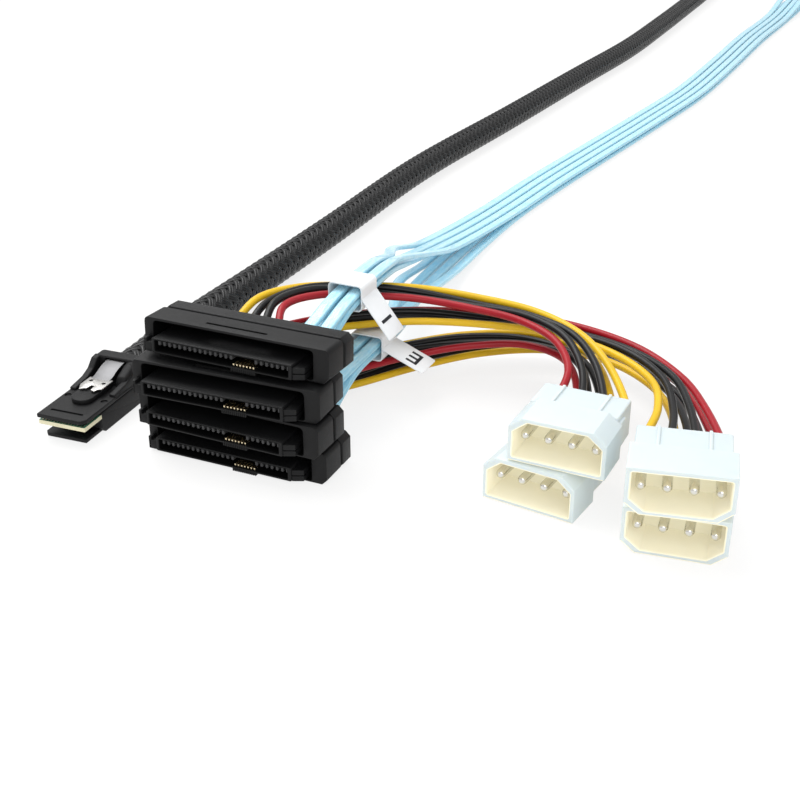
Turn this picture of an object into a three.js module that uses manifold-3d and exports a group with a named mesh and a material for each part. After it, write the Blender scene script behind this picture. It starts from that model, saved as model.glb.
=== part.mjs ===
// Breakout cable: a latched plug on a braided trunk that fans out, past the loop at its far
// end, into eight flat signal ribbons for four stacked drive connectors. Each drive connector
// also has four power wires that end in a four-pin power plug.
// Millimetres, +Z up. The origin is under the middle of the lowest drive connector's hood, on
// the surface that everything lies on, and that connector's mating face looks along -Y. Places
// and routes below are measured from that mating face, and the last lines move the whole cable.
import * as THREE from 'three';
import { mergeVertices } from 'three/addons/utils/BufferGeometryUtils.js';
import Module from 'manifold-3d';

// Driving dimensions of the drive connectors
const CONTACT_PITCH = 1.27;
const POWER_CONTACTS = 15;
const SIGNAL_CONTACTS = 7;
const SEGMENT_GAP = 6.0;
const FINE_PITCH = 0.8;
const DRIVE_HEIGHT = 7.6;
const DRIVE_DEPTH = 14.6;
const DRIVE_WIDTH = 44.9;
const HOOD_SETBACK = 2.6;
const HOOD_DEPTH = 7.0;
const COVER_NECK = 0.5;
const LEFT_MARGIN = 1.8;
const RIGHT_MARGIN = 1.0;
const LEFT_FLANK = 3.4;

// Gap between pieces that touch in the real cable, and how far a joined lump sinks into its body
const TOUCH_GAP = 0.3;
const JOIN = 0.1;

// Driving dimensions of the layout: how far the things that lie side by side stand apart
const PLUG_CLEARANCE = 12.2;
const PAIR_CLEARANCE = 31.9;
const PAIR_GAP = 11;

// Driving dimensions of the latched plug
const PLUG_WIDTH = 12.4;
const PLUG_LENGTH = 32;
const PLUG_HEIGHT = 6.7;
const PLUG_REAR_HEIGHT = 11.2;
const CARD_THICKNESS = 1.0;
const SHELL_TOP = 1.0;

// Driving dimensions of the power plugs
const PIN_PITCH = 5.08;
const PIN_COUNT = 4;
const PIN_RADIUS = 1.05;
const POWER_WIDTH = 21;
const POWER_HEIGHT = 10.3;
const POWER_WALL = 1.1;
const SHROUD_DEPTH = 10.5;
const REAR_DEPTH = 9;
const PIN_RECESS = 2;

// Driving dimensions of the cords
const SLEEVE_DIAMETER = 9.8;
const RIBBON_WIDTH = 3.0;
const RIBBON_THICKNESS = 1.3;
const WIRE_DIAMETER = 1.8;
const CORD_SIDES = 8;

// What follows from them
const CONTACT_SPAN = (POWER_CONTACTS - 1 + SIGNAL_CONTACTS - 1) * CONTACT_PITCH + SEGMENT_GAP;
const FIRST_POWER_X = -CONTACT_SPAN / 2;
const LAST_POWER_X = FIRST_POWER_X + (POWER_CONTACTS - 1) * CONTACT_PITCH;
const FIRST_SIGNAL_X = LAST_POWER_X + SEGMENT_GAP;
const RECEPTACLE_LEFT = FIRST_POWER_X - LEFT_MARGIN;
const RECEPTACLE_RIGHT = CONTACT_SPAN / 2 + RIGHT_MARGIN;
const HOOD_LEFT = RECEPTACLE_LEFT - LEFT_FLANK;
const HOOD_RIGHT = HOOD_LEFT + DRIVE_WIDTH;
const HOOD_BACK = HOOD_SETBACK + HOOD_DEPTH;
const STACK_PITCH = DRIVE_HEIGHT + TOUCH_GAP;
const POWER_LENGTH = SHROUD_DEPTH + REAR_DEPTH;
const POWER_STACK_PITCH = POWER_HEIGHT + TOUCH_GAP;
const LEFT_PAIR_X = HOOD_RIGHT + PAIR_CLEARANCE + POWER_WIDTH / 2;
const RIGHT_PAIR_X = LEFT_PAIR_X + POWER_WIDTH + PAIR_GAP;
const SLEEVE_RADIUS = SLEEVE_DIAMETER / 2;

const MATERIALS = {
  housing: new THREE.MeshStandardMaterial({ color: 0x1b1b1d, roughness: 0.55, metalness: 0 }),
  cover: new THREE.MeshStandardMaterial({ color: 0x222225, roughness: 0.5, metalness: 0 }),
  shell: new THREE.MeshStandardMaterial({ color: 0x2a2a2c, roughness: 0.6, metalness: 0 }),
  card: new THREE.MeshStandardMaterial({ color: 0x2f6b4f, roughness: 0.4, metalness: 0 }),
  steel: new THREE.MeshStandardMaterial({ color: 0xc9c7c2, roughness: 0.3, metalness: 1 }),
  pin: new THREE.MeshStandardMaterial({ color: 0xd6d3cc, roughness: 0.25, metalness: 1 }),
  nylon: new THREE.MeshStandardMaterial({ color: 0xeeebdc, roughness: 0.45, metalness: 0 }),
  braid: new THREE.MeshStandardMaterial({ color: 0x1d1d1e, roughness: 0.8, metalness: 0 }),
  ribbon: new THREE.MeshStandardMaterial({ color: 0xa8dbe8, roughness: 0.3, metalness: 0 }),
  yellow: new THREE.MeshStandardMaterial({ color: 0xe8c020, roughness: 0.35, metalness: 0 }),
  red: new THREE.MeshStandardMaterial({ color: 0xb81c28, roughness: 0.35, metalness: 0 }),
  black: new THREE.MeshStandardMaterial({ color: 0x151515, roughness: 0.35, metalness: 0 }),
  paper: new THREE.MeshStandardMaterial({ color: 0xf4f4f2, roughness: 0.6, metalness: 0 }),
};

const wasm = await Module();
wasm.setup();

// Solid with shared corners, ready to be joined or cut
function solid(geometry) {
  const plain = geometry.clone();
  plain.deleteAttribute('normal');
  plain.deleteAttribute('uv');
  const merged = mergeVertices(plain, 1e-4);
  const vertProperties = new Float32Array(merged.attributes.position.array);
  const triVerts = new Uint32Array(merged.index.array);
  return new wasm.Manifold(new wasm.Mesh({ numProp: 3, vertProperties, triVerts }));
}

function geometryOf(body) {
  const { vertProperties, triVerts } = body.getMesh();
  const geometry = new THREE.BufferGeometry();
  geometry.setAttribute('position', new THREE.BufferAttribute(vertProperties, 3));
  geometry.setIndex(new THREE.BufferAttribute(triVerts, 1));
  return geometry;
}

function box([x0, x1], [y0, y1], [z0, z1]) {
  const geometry = new THREE.BoxGeometry(x1 - x0, y1 - y0, z1 - z0);
  return solid(geometry.translate((x0 + x1) / 2, (y0 + y1) / 2, (z0 + z1) / 2));
}

// Outline drawn across X and Z, carried along Y
function alongY(outline, [y0, y1], curveSegments = 3) {
  const options = { depth: y1 - y0, bevelEnabled: false, curveSegments };
  return solid(new THREE.ExtrudeGeometry(outline, options).rotateX(Math.PI / 2).translate(0, y1, 0));
}

// Outline drawn across Y and Z, carried along X
function alongX(outline, [x0, x1]) {
  const geometry = new THREE.ExtrudeGeometry(outline, { depth: x1 - x0, bevelEnabled: false });
  return solid(geometry.rotateX(Math.PI / 2).rotateZ(Math.PI / 2).translate(x0, 0, 0));
}

// Outline drawn across X and Y, carried up
function upward(outline, [z0, z1], curveSegments = 4) {
  const options = { depth: z1 - z0, bevelEnabled: false, curveSegments };
  return solid(new THREE.ExtrudeGeometry(outline, options).translate(0, 0, z0));
}

function polygon(points) {
  return new THREE.Shape(points.map(([a, b]) => new THREE.Vector2(a, b)));
}

function roundedRectangle([x0, x1], [z0, z1], radius) {
  const outline = new THREE.Shape();
  outline.absarc(x1 - radius, z0 + radius, radius, -Math.PI / 2, 0, false);
  outline.absarc(x1 - radius, z1 - radius, radius, 0, Math.PI / 2, false);
  outline.absarc(x0 + radius, z1 - radius, radius, Math.PI / 2, Math.PI, false);
  outline.absarc(x0 + radius, z0 + radius, radius, Math.PI, 1.5 * Math.PI, false);
  return outline;
}

function mesh(name, body, material) {
  const piece = new THREE.Mesh(body.isBufferGeometry ? body : geometryOf(body), material);
  piece.name = name;
  return piece;
}

// Drive connector: receptacle with its contacts, framed by a hood that opens above it
const RECEPTACLE = { bottom: 0.6, top: 4.0, mouthBottom: 1.2, mouthTop: 3.5, mouthDepth: 5.5 };
const MOUTH_MARGIN = 0.9;
const CONTACT_WIDTH = 0.62;
const CONTACT_DROP = 0.6;
const CONTACT_START = 0.5;
const FINE_COUNT = 7;
const FINE_WIDTH = 0.36;
const FINE_RISE = 0.5;
const BUMP = { front: 0.3, bottom: 0.1, top: 1 };
const TAB = { front: 0.4, back: 3.6, reach: 2.3, bottom: 0.6, top: 2.8 };
const ARM = { nose: 0.3, shoulder: 1.4, reach: 2.4, bottom: 0.6, top: 3.3 };
const HOOD_CORNER = 1.2;
const HOOD_INNER_CORNER = 0.6;
const HOOD_ROOF = 0.7;
const HOOD_FLOOR = 0.5;
const HOOD_LEFT_WALL = 2.4;
const HOOD_RIGHT_WALL = 3.7;
const HOOD_BACK_WALL = 0.7;
const ROOF_SLOT = { left: -6.7, right: 8.3, front: 4.7, back: 5.5 };

function contactPositions() {
  const power = Array.from({ length: POWER_CONTACTS }, (_, i) => FIRST_POWER_X + i * CONTACT_PITCH);
  const signal = Array.from({ length: SIGNAL_CONTACTS }, (_, i) => FIRST_SIGNAL_X + i * CONTACT_PITCH);
  return [...power, ...signal];
}

function receptacle() {
  const { bottom, top, mouthBottom, mouthTop, mouthDepth } = RECEPTACLE;
  const bumpCentre = (LAST_POWER_X + FIRST_SIGNAL_X) / 2;
  const bumpHalf = SEGMENT_GAP / 2;
  const back = HOOD_BACK - JOIN;
  let body = box([RECEPTACLE_LEFT, RECEPTACLE_RIGHT], [0, back], [bottom, top]);
  const bumpWidth = [bumpCentre - bumpHalf, bumpCentre + bumpHalf];
  body = body.add(box(bumpWidth, [BUMP.front, back], [BUMP.bottom, BUMP.top]));
  const mouth = [RECEPTACLE_LEFT + MOUTH_MARGIN, RECEPTACLE_RIGHT - MOUTH_MARGIN];
  body = body.subtract(box(mouth, [-1, mouthDepth], [mouthBottom, mouthTop]));
  const contactDepth = [CONTACT_START, mouthDepth + JOIN];
  for (const x of contactPositions()) {
    const width = [x - CONTACT_WIDTH / 2, x + CONTACT_WIDTH / 2];
    body = body.add(box(width, contactDepth, [mouthTop - CONTACT_DROP, mouthTop + JOIN]));
  }
  for (let i = 0; i < FINE_COUNT; i += 1) {
    const x = bumpCentre + (i - (FINE_COUNT - 1) / 2) * FINE_PITCH;
    const width = [x - FINE_WIDTH / 2, x + FINE_WIDTH / 2];
    body = body.add(box(width, contactDepth, [mouthBottom - JOIN, mouthBottom + FINE_RISE]));
  }
  return body;
}

// Key tab on the power end and guide arm on the signal end of the receptacle
function guides() {
  const tabWidth = [RECEPTACLE_LEFT - TAB.reach, RECEPTACLE_LEFT + JOIN];
  const tab = box(tabWidth, [TAB.front, TAB.back], [TAB.bottom, TAB.top]);
  const arm = upward(polygon([
    [RECEPTACLE_RIGHT - JOIN, ARM.nose],
    [RECEPTACLE_RIGHT + ARM.reach, ARM.shoulder],
    [RECEPTACLE_RIGHT + ARM.reach, HOOD_BACK - JOIN],
    [RECEPTACLE_RIGHT - JOIN, HOOD_BACK - JOIN],
  ]), [ARM.bottom, ARM.top]);
  return tab.add(arm);
}

function hood() {
  const outer = roundedRectangle([HOOD_LEFT, HOOD_RIGHT], [0, DRIVE_HEIGHT], HOOD_CORNER);
  const inner = roundedRectangle(
    [HOOD_LEFT + HOOD_LEFT_WALL, HOOD_RIGHT - HOOD_RIGHT_WALL],
    [HOOD_FLOOR, DRIVE_HEIGHT - HOOD_ROOF],
    HOOD_INNER_CORNER,
  );
  const { left, right, front, back } = ROOF_SLOT;
  return alongY(outer, [HOOD_SETBACK, HOOD_BACK])
    .subtract(alongY(inner, [HOOD_SETBACK - 1, HOOD_BACK - HOOD_BACK_WALL]))
    .subtract(box([left, right], [front, back], [DRIVE_HEIGHT - 1, DRIVE_HEIGHT + 1]));
}

// Rear cover: a narrow neck, which reads as a groove behind the hood, and a rounded block
const NECK_INSET = 0.6;

function rearCover() {
  const neckStart = HOOD_BACK + TOUCH_GAP;
  const blockStart = neckStart + COVER_NECK;
  const neck = roundedRectangle(
    [HOOD_LEFT + NECK_INSET, HOOD_RIGHT - NECK_INSET],
    [NECK_INSET, DRIVE_HEIGHT - NECK_INSET],
    HOOD_CORNER,
  );
  const block = roundedRectangle([HOOD_LEFT, HOOD_RIGHT], [0, DRIVE_HEIGHT], HOOD_CORNER);
  return alongY(neck, [neckStart, blockStart + JOIN]).add(alongY(block, [blockStart, DRIVE_DEPTH]));
}

// Where each drive connector lies, lowest first; the top one leans back over the one below
const DRIVE_PLACES = [
  { x: 0, y: 0, turn: 0, lean: 0 },
  { x: 0, y: -3.0, turn: -1.1, lean: 0 },
  { x: 0.2, y: -3.2, turn: 2.4, lean: 0 },
  { x: 0.9, y: 0.4, turn: 0, lean: -3 },
];
const LEAN_PIVOT_Y = 11;

// Group at a connector's place, turned about Z and leaned about a line under its cover
function driveGroup(level) {
  const place = DRIVE_PLACES[level];
  const group = new THREE.Group();
  group.position.set(place.x, place.y, level * STACK_PITCH);
  group.rotation.z = THREE.MathUtils.degToRad(place.turn);
  const leaning = new THREE.Group();
  leaning.position.y = LEAN_PIVOT_Y;
  leaning.rotation.x = THREE.MathUtils.degToRad(place.lean);
  const content = new THREE.Group();
  content.position.y = -LEAN_PIVOT_Y;
  leaning.add(content);
  group.add(leaning);
  group.updateMatrixWorld(true);
  return { group, content };
}

function driveConnector(level) {
  const { group, content } = driveGroup(level);
  const front = receptacle().add(guides()).add(hood());
  content.add(mesh(`drive_${level + 1}_housing`, front, MATERIALS.housing));
  content.add(mesh(`drive_${level + 1}_cover`, rearCover(), MATERIALS.cover));
  return group;
}

// Latched plug: the card's edge shows between the upper shell and the lower shell
const PLUG_HALF = PLUG_WIDTH / 2;
const CARD_BOTTOM = 4.0;
const CARD_TOP = CARD_BOTTOM + CARD_THICKNESS;
const SEAM = PLUG_HEIGHT - SHELL_TOP;
const BODY_START = 7;
const BOSS = { radius: 2.7, front: 7, back: 18, height: 1.2 };
const RAIL = { width: 1.7, start: 13.2 };
const REAR_BLOCK_START = 24;
const PLUG_PLACE = { x: HOOD_LEFT - PLUG_CLEARANCE - PLUG_HALF, y: -5.3, turn: 3 };
const LATCH = { halfWidth: 3.1, front: 11.2, back: 17.6, thickness: 0.35 };
const STRIP_HALF = 2.4;
const LATCH_LEVEL = PLUG_HEIGHT + BOSS.height + TOUCH_GAP;
const STRIP_TOP = PLUG_REAR_HEIGHT - 0.9;

function plugUpperShell() {
  const lip = box([-PLUG_HALF, PLUG_HALF], [0, PLUG_LENGTH], [SEAM, PLUG_HEIGHT]);
  const noseCut = polygon([[PLUG_HALF - 1.1, -1], [PLUG_HALF + 1, -1], [PLUG_HALF + 1, 1.3]]);
  const slot = box([-4.4, 4.2], [2.6, 3.4], [PLUG_HEIGHT - 0.4, PLUG_HEIGHT + 1]);
  const bossOutline = new THREE.Shape();
  bossOutline.moveTo(BOSS.radius, BOSS.back);
  bossOutline.lineTo(-BOSS.radius, BOSS.back);
  bossOutline.absarc(0, BOSS.front + BOSS.radius, BOSS.radius, Math.PI, 2 * Math.PI, false);
  const boss = upward(bossOutline, [PLUG_HEIGHT - 0.1, PLUG_HEIGHT + BOSS.height], 8);
  const railSide = polygon([
    [RAIL.start, SEAM],
    [REAR_BLOCK_START + 1, SEAM],
    [REAR_BLOCK_START + 1, PLUG_REAR_HEIGHT],
    [REAR_BLOCK_START - 2, PLUG_REAR_HEIGHT - 0.7],
    [20.2, PLUG_HEIGHT + 2.2],
    [17.2, PLUG_HEIGHT + 1.2],
    [RAIL.start + 2.3, PLUG_HEIGHT + 0.9],
    [RAIL.start, PLUG_HEIGHT + 0.5],
  ]);
  const rails = alongX(railSide, [-PLUG_HALF, -PLUG_HALF + RAIL.width])
    .add(alongX(railSide, [PLUG_HALF - RAIL.width, PLUG_HALF]));
  const rearOutline = roundedRectangle([-PLUG_HALF, PLUG_HALF], [SEAM, PLUG_REAR_HEIGHT], 1);
  const rear = alongY(rearOutline, [REAR_BLOCK_START, PLUG_LENGTH])
    .add(box([-PLUG_HALF, PLUG_HALF], [REAR_BLOCK_START, PLUG_LENGTH], [SEAM, SEAM + 1.5]));
  const pocket = box(
    [-STRIP_HALF - 0.5, STRIP_HALF + 0.5],
    [REAR_BLOCK_START - 1, REAR_BLOCK_START + 2.8],
    [STRIP_TOP - 1.0, STRIP_TOP + 0.4],
  );
  return lip.subtract(upward(noseCut, [SEAM - 1, PLUG_HEIGHT + 1])).subtract(slot)
    .add(boss).add(rails).add(rear).subtract(pocket);
}

function plugLowerShell() {
  const roof = SEAM - TOUCH_GAP;
  const body = alongX(polygon([
    [BODY_START + 1.8, 0],
    [PLUG_LENGTH, 0],
    [PLUG_LENGTH, roof],
    [BODY_START, roof],
    [BODY_START, 1.6],
  ]), [-PLUG_HALF + 0.2, PLUG_HALF - 0.2]);
  const nose = upward(polygon([
    [-5.0, 1.8],
    [5.6, 1.8],
    [5.6, BODY_START + 3],
    [-5.6, BODY_START + 3],
    [-5.6, 2.6],
  ]), [0.2, 1.1]);
  const pocket = box(
    [-CARD_TAIL_HALF - TOUCH_GAP, CARD_TAIL_HALF + TOUCH_GAP],
    [BODY_START - 1, CARD_LENGTH + TOUCH_GAP],
    [CARD_BOTTOM - TOUCH_GAP, roof + 1],
  );
  return body.add(nose).subtract(pocket);
}

const CARD_LENGTH = 18;
const CARD_TAIL_HALF = 5.2;

function plugCard() {
  const half = PLUG_HALF - 0.2;
  return upward(polygon([
    [-half, 0.3],
    [half, 0.3],
    [half, BODY_START - TOUCH_GAP],
    [CARD_TAIL_HALF, BODY_START - TOUCH_GAP],
    [CARD_TAIL_HALF, CARD_LENGTH],
    [-CARD_TAIL_HALF, CARD_LENGTH],
    [-CARD_TAIL_HALF, BODY_START - TOUCH_GAP],
    [-half, BODY_START - TOUCH_GAP],
  ]), [CARD_BOTTOM, CARD_TOP]);
}

// Spring latch: a toothed plate over the boss and a strip that climbs into the rear block
function plugLatch() {
  const { halfWidth, front, back, thickness } = LATCH;
  const plate = upward(polygon([
    [-halfWidth, front + 2.2],
    [-halfWidth + 1, front],
    [-halfWidth + 2, front + 0.8],
    [-0.6, front + 0.8],
    [-0.3, front + 2.6],
    [0.5, front + 2.6],
    [0.8, front + 0.4],
    [halfWidth - 1.2, front],
    [halfWidth - 0.6, front + 1.4],
    [halfWidth, front + 1.6],
    [halfWidth, back],
    [-halfWidth, back],
  ]), [LATCH_LEVEL, LATCH_LEVEL + thickness]);
  const underside = new THREE.CatmullRomCurve3([
    new THREE.Vector3(0, back - 0.6, LATCH_LEVEL),
    new THREE.Vector3(0, back + 1.2, LATCH_LEVEL + 0.4),
    new THREE.Vector3(0, 21.2, STRIP_TOP - 0.8),
    new THREE.Vector3(0, REAR_BLOCK_START, STRIP_TOP - 0.35),
    new THREE.Vector3(0, REAR_BLOCK_START + 2.4, STRIP_TOP - 0.35),
  ]).getPoints(9);
  const lower = underside.map((p) => [p.y, p.z]);
  const upper = underside.map((p) => [p.y, p.z + thickness]).reverse();
  return plate.add(alongX(polygon([...lower, ...upper]), [-STRIP_HALF, STRIP_HALF]));
}

function latchedPlug() {
  const group = new THREE.Group();
  group.position.set(PLUG_PLACE.x, PLUG_PLACE.y, 0);
  group.rotation.z = THREE.MathUtils.degToRad(PLUG_PLACE.turn);
  group.add(mesh('plug_upper_shell', plugUpperShell(), MATERIALS.shell));
  group.add(mesh('plug_lower_shell', plugLowerShell(), MATERIALS.shell));
  group.add(mesh('plug_card', plugCard(), MATERIALS.card));
  group.add(mesh('plug_latch', plugLatch(), MATERIALS.steel));
  group.updateMatrixWorld(true);
  return group;
}

// Power plug: chamfered shroud around four pins, on a smaller rear block
const POWER_HALF = POWER_WIDTH / 2;
const CHAMFER = { across: 3.0, down: 2.4 };
const REAR_INSET = 0.9;

function powerOutline(inset) {
  const half = POWER_HALF - inset;
  const low = inset;
  const high = POWER_HEIGHT - inset;
  return polygon([
    [-half, low],
    [half, low],
    [half, high - CHAMFER.down],
    [half - CHAMFER.across, high],
    [-half + CHAMFER.across, high],
    [-half, high - CHAMFER.down],
  ]);
}

function powerHousing() {
  const rear = box(
    [-POWER_HALF + REAR_INSET, POWER_HALF - REAR_INSET],
    [SHROUD_DEPTH - JOIN, POWER_LENGTH],
    [REAR_INSET, POWER_HEIGHT - REAR_INSET],
  );
  return alongY(powerOutline(0), [0, SHROUD_DEPTH])
    .subtract(alongY(powerOutline(POWER_WALL), [-1, SHROUD_DEPTH - POWER_WALL]))
    .add(rear);
}

function powerPin() {
  const root = SHROUD_DEPTH - POWER_WALL - TOUCH_GAP;
  const profile = [
    [0, PIN_RECESS],
    [0.55 * PIN_RADIUS, PIN_RECESS],
    [PIN_RADIUS, PIN_RECESS + 0.9],
    [PIN_RADIUS, root],
    [0, root],
  ].map(([radius, along]) => new THREE.Vector2(radius, along));
  return solid(new THREE.LatheGeometry(profile, 8));
}

// Lower and upper plug of the left pair, then of the right pair, which lies upside down
const LEFT_LOWER = { x: LEFT_PAIR_X, y: 10.7, turn: -7.5 };
const LEFT_UPPER = { x: LEFT_PAIR_X + 5.4, y: 11.2, turn: -1.8 };
const RIGHT_LOWER = { x: RIGHT_PAIR_X, y: 5.2, turn: 7 };
const RIGHT_UPPER = { x: RIGHT_PAIR_X + 0.6, y: 3, turn: 11.5 };
const POWER_PLACES = [
  { name: 'power_left_lower', place: LEFT_LOWER, level: 0, flipped: false },
  { name: 'power_left_upper', place: LEFT_UPPER, level: 1, flipped: false },
  { name: 'power_right_lower', place: RIGHT_LOWER, level: 0, flipped: true },
  { name: 'power_right_upper', place: RIGHT_UPPER, level: 1, flipped: true },
];

function powerPlug({ name, place, level, flipped }) {
  const group = new THREE.Group();
  const middle = POWER_HEIGHT / 2;
  group.position.set(place.x, place.y, level * POWER_STACK_PITCH + middle);
  group.rotation.z = THREE.MathUtils.degToRad(place.turn);
  const rolled = new THREE.Group();
  rolled.rotation.y = flipped ? Math.PI : 0;
  const housing = mesh(`${name}_housing`, powerHousing(), MATERIALS.nylon);
  housing.position.z = -middle;
  rolled.add(housing);
  for (let i = 0; i < PIN_COUNT; i += 1) {
    const pin = mesh(`${name}_pin_${i + 1}`, powerPin(), MATERIALS.pin);
    pin.position.x = (i - (PIN_COUNT - 1) / 2) * PIN_PITCH;
    rolled.add(pin);
  }
  group.add(rolled);
  group.updateMatrixWorld(true);
  return group;
}

// Path of a cord whose section stays level, so that a flat ribbon doesn't roll over
class LevelPath extends THREE.CatmullRomCurve3 {
  computeFrenetFrames(segments) {
    const up = new THREE.Vector3(0, 0, 1);
    const frames = { tangents: [], normals: [], binormals: [] };
    for (let i = 0; i <= segments; i += 1) {
      const tangent = this.getTangentAt(i / segments);
      const side = new THREE.Vector3().crossVectors(up, tangent).normalize();
      frames.tangents.push(tangent);
      frames.normals.push(side);
      frames.binormals.push(new THREE.Vector3().crossVectors(tangent, side));
    }
    return frames;
  }
}

function cord(name, section, points, steps, material) {
  const path = new LevelPath(points.map((p) => (p.isVector3 ? p : new THREE.Vector3(...p))));
  const geometry = new THREE.ExtrudeGeometry(section, { steps, extrudePath: path });
  return mesh(name, solid(geometry), material);
}

function roundSection(diameter) {
  const corner = (i) => {
    const angle = (2 * Math.PI * i) / CORD_SIDES;
    return [(diameter / 2) * Math.cos(angle), (diameter / 2) * Math.sin(angle)];
  };
  return polygon(Array.from({ length: CORD_SIDES }, (_, i) => corner(i)));
}

function ribbonSection() {
  const w = RIBBON_WIDTH / 2;
  const t = RIBBON_THICKNESS / 2;
  return polygon([
    [w, -t / 2], [w, t / 2], [w - t / 2, t], [t / 2 - w, t],
    [-w, t / 2], [-w, -t / 2], [t / 2 - w, -t], [w - t / 2, -t],
  ]);
}

// Point of a placed group, and the direction of its local +Y there
function worldPoint(frame, x, y, z) {
  return frame.localToWorld(new THREE.Vector3(x, y, z));
}

// Trunk: from the plug's rear, straight back on the surface, and round the loop to its mouth
const SLEEVE_STEPS = 50;
const SLEEVE_LEAD = 6;
const SLEEVE_ROUTE = [
  [-42.8, 44, 5.1],
  [-42.6, 62, 5],
  [-42.2, 90, 5],
  [-42, 135, 5],
  [-42.6, 205, 5],
  [-37, 286, 5],
  [-32, 366, 5],
  [-27.5, 434, 5],
  [-27, 505, 5],
  [-27.5, 581, 5],
  [-27, 640, 5],
  [-20, 666, 5],
  [0, 678, 5],
  [20, 668, 5],
  [26.4, 659.5, 5],
  [27, 652, 5],
];

function trunk(plug) {
  const level = 5.6;
  const start = worldPoint(plug, 0, PLUG_LENGTH + 0.5, level);
  const lead = worldPoint(plug, 0, PLUG_LENGTH + SLEEVE_LEAD, level - 0.2);
  const points = [start, lead, ...SLEEVE_ROUTE];
  return cord('sleeve', roundSection(SLEEVE_DIAMETER), points, SLEEVE_STEPS, MATERIALS.braid);
}

// Power wires: one row of four for each drive connector, lowest first. A station is the
// middle of the row and the spacing across it.
const WIRE_STEPS = 19;
const WIRE_LEAD = 3;
const WIRE_EXIT = { x: -1.75, z: 3.8, spacing: 3.5 };
const WIRE_SWAY = 0.45;
const WIRE_ROWS = [
  {
    plug: 'power_right_lower',
    colours: ['red', 'black', 'black', 'yellow'],
    stations: [
      [-2, 24, 3.6, 2.6], [1, 34, 3.2, 2.3], [9, 46, 3.2, 2.3], [19, 60, 4.2, 2.3],
      [32, 73, 5, 2.3], [48, 80, 5.4, 2.3], [66, 79, 5.4, 2.3], [82, 68, 5.4, 2.3],
      [91, 52, 5.3, 2.5], [94.2, 40, 5.2, 3.4],
    ],
  },
  {
    plug: 'power_left_lower',
    colours: ['yellow', 'black', 'black', 'red'],
    stations: [
      [-2, 21, 11, 2.6], [0, 31, 8.8, 2.3], [8, 44, 7.9, 2.3], [18, 56, 8.6, 2.3],
      [31, 66, 9.4, 2.3], [46, 71, 9.8, 2.3], [59, 67, 9.6, 2.3], [67, 55, 8.2, 2.5],
      [69.8, 43, 6.2, 3.4],
    ],
  },
  {
    plug: 'power_right_upper',
    colours: ['red', 'black', 'black', 'yellow'],
    stations: [
      [-2, 22, 20.5, 2.6], [1, 36, 19.5, 2.3], [9, 48.5, 18.5, 2.3], [21, 58, 17.6, 2.3],
      [36, 63, 17, 2.3], [54, 65.5, 16.8, 2.3], [72, 61, 16.8, 2.3], [85, 50, 16.8, 2.4],
      [91, 38, 16.2, 3.4],
    ],
  },
  {
    plug: 'power_left_upper',
    colours: ['yellow', 'black', 'black', 'red'],
    stations: [
      [-1.5, 26, 29.2, 2.6], [1.2, 40, 27.8, 2.3], [9, 52.5, 24.4, 2.3], [20, 59.5, 22.4, 2.3],
      [34, 62, 21.2, 2.3], [48, 62, 20.6, 2.3], [60, 56, 20, 2.4], [68, 46, 18, 3.2],
    ],
  },
];

function wireRow(level, drive, plugs) {
  const { plug, colours, stations } = WIRE_ROWS[level];
  const plugFrame = plugs[plug];
  const section = roundSection(WIRE_DIAMETER);
  const wires = [];
  for (let i = 0; i < colours.length; i += 1) {
    const across = i - (colours.length - 1) / 2;
    const exitX = WIRE_EXIT.x + across * WIRE_EXIT.spacing;
    const rear = DRIVE_DEPTH + TOUCH_GAP;
    const plugX = -across * PIN_PITCH;
    const plugRear = POWER_LENGTH + TOUCH_GAP;
    const points = [
      worldPoint(drive, exitX, rear, WIRE_EXIT.z),
      worldPoint(drive, exitX, rear + WIRE_LEAD, WIRE_EXIT.z),
    ];
    stations.forEach(([x, y, z, spacing], k) => {
      const before = stations[Math.max(k - 1, 0)];
      const after = stations[Math.min(k + 1, stations.length - 1)];
      const heading = new THREE.Vector2(after[0] - before[0], after[1] - before[1]).normalize();
      const offset = across * spacing;
      const sway = WIRE_SWAY * Math.sin(2.1 * i + 1.3 * k + level);
      points.push([x + heading.y * offset, y - heading.x * offset, z + sway]);
    });
    points.push(worldPoint(plugFrame, plugX, plugRear + WIRE_LEAD, 0));
    points.push(worldPoint(plugFrame, plugX, plugRear, 0));
    const name = `wire_${level + 1}_${i + 1}_${colours[i]}`;
    wires.push(cord(name, section, points, WIRE_STEPS, MATERIALS[colours[i]]));
  }
  return wires;
}

// Signal ribbons: two for each drive connector, gathered in two bundles of four. In its
// bundle a ribbon has a lane, 0 to 3, and the outer lanes come from the higher connector.
const RIBBON_STEPS = 42;
const RIBBON_LEAD = 3;
const RIBBON_EXIT = { x: [10.2, 14.2], z: 3.8 };
const LANE_SPACING = 3.5;
const LAYER_STEP = 1.9;
const MOUTH_STEP = 1.7;
const PAIR_HALF = 1.9;
const BUNDLES = [
  {
    label: 'label_2',
    drives: [1, 0],
    floorLevel: 1.0,
    gathered: [[13.2, 34, 12.4], [13.4, 48, 13], [12.6, 60, 12.6], [8.5, 76, 9.6]],
    fanned: [[3.5, 98, 6], [0, 124, 3.4], [-2, 152, 1.6]],
  },
  {
    label: 'label_1',
    drives: [3, 2],
    floorLevel: 1.0 + LAYER_STEP,
    gathered: [[12.8, 32, 28.6], [12.4, 44, 29.4], [11, 58, 28.4], [6, 78, 22.5]],
    fanned: [[0, 102, 14], [-3.4, 128, 8], [-3.4, 154, 4.6]],
  },
];
const FLOOR_ROUTE = [
  [-2, 182], [1.5, 220], [7, 266], [13, 316], [18.5, 369], [20.5, 430], [21.5, 497], [24.5, 565],
];
const LIFTED = [26.4, 606];
const MOUTH = [27, 632];
const MOUTH_END = [27, 651];

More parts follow.
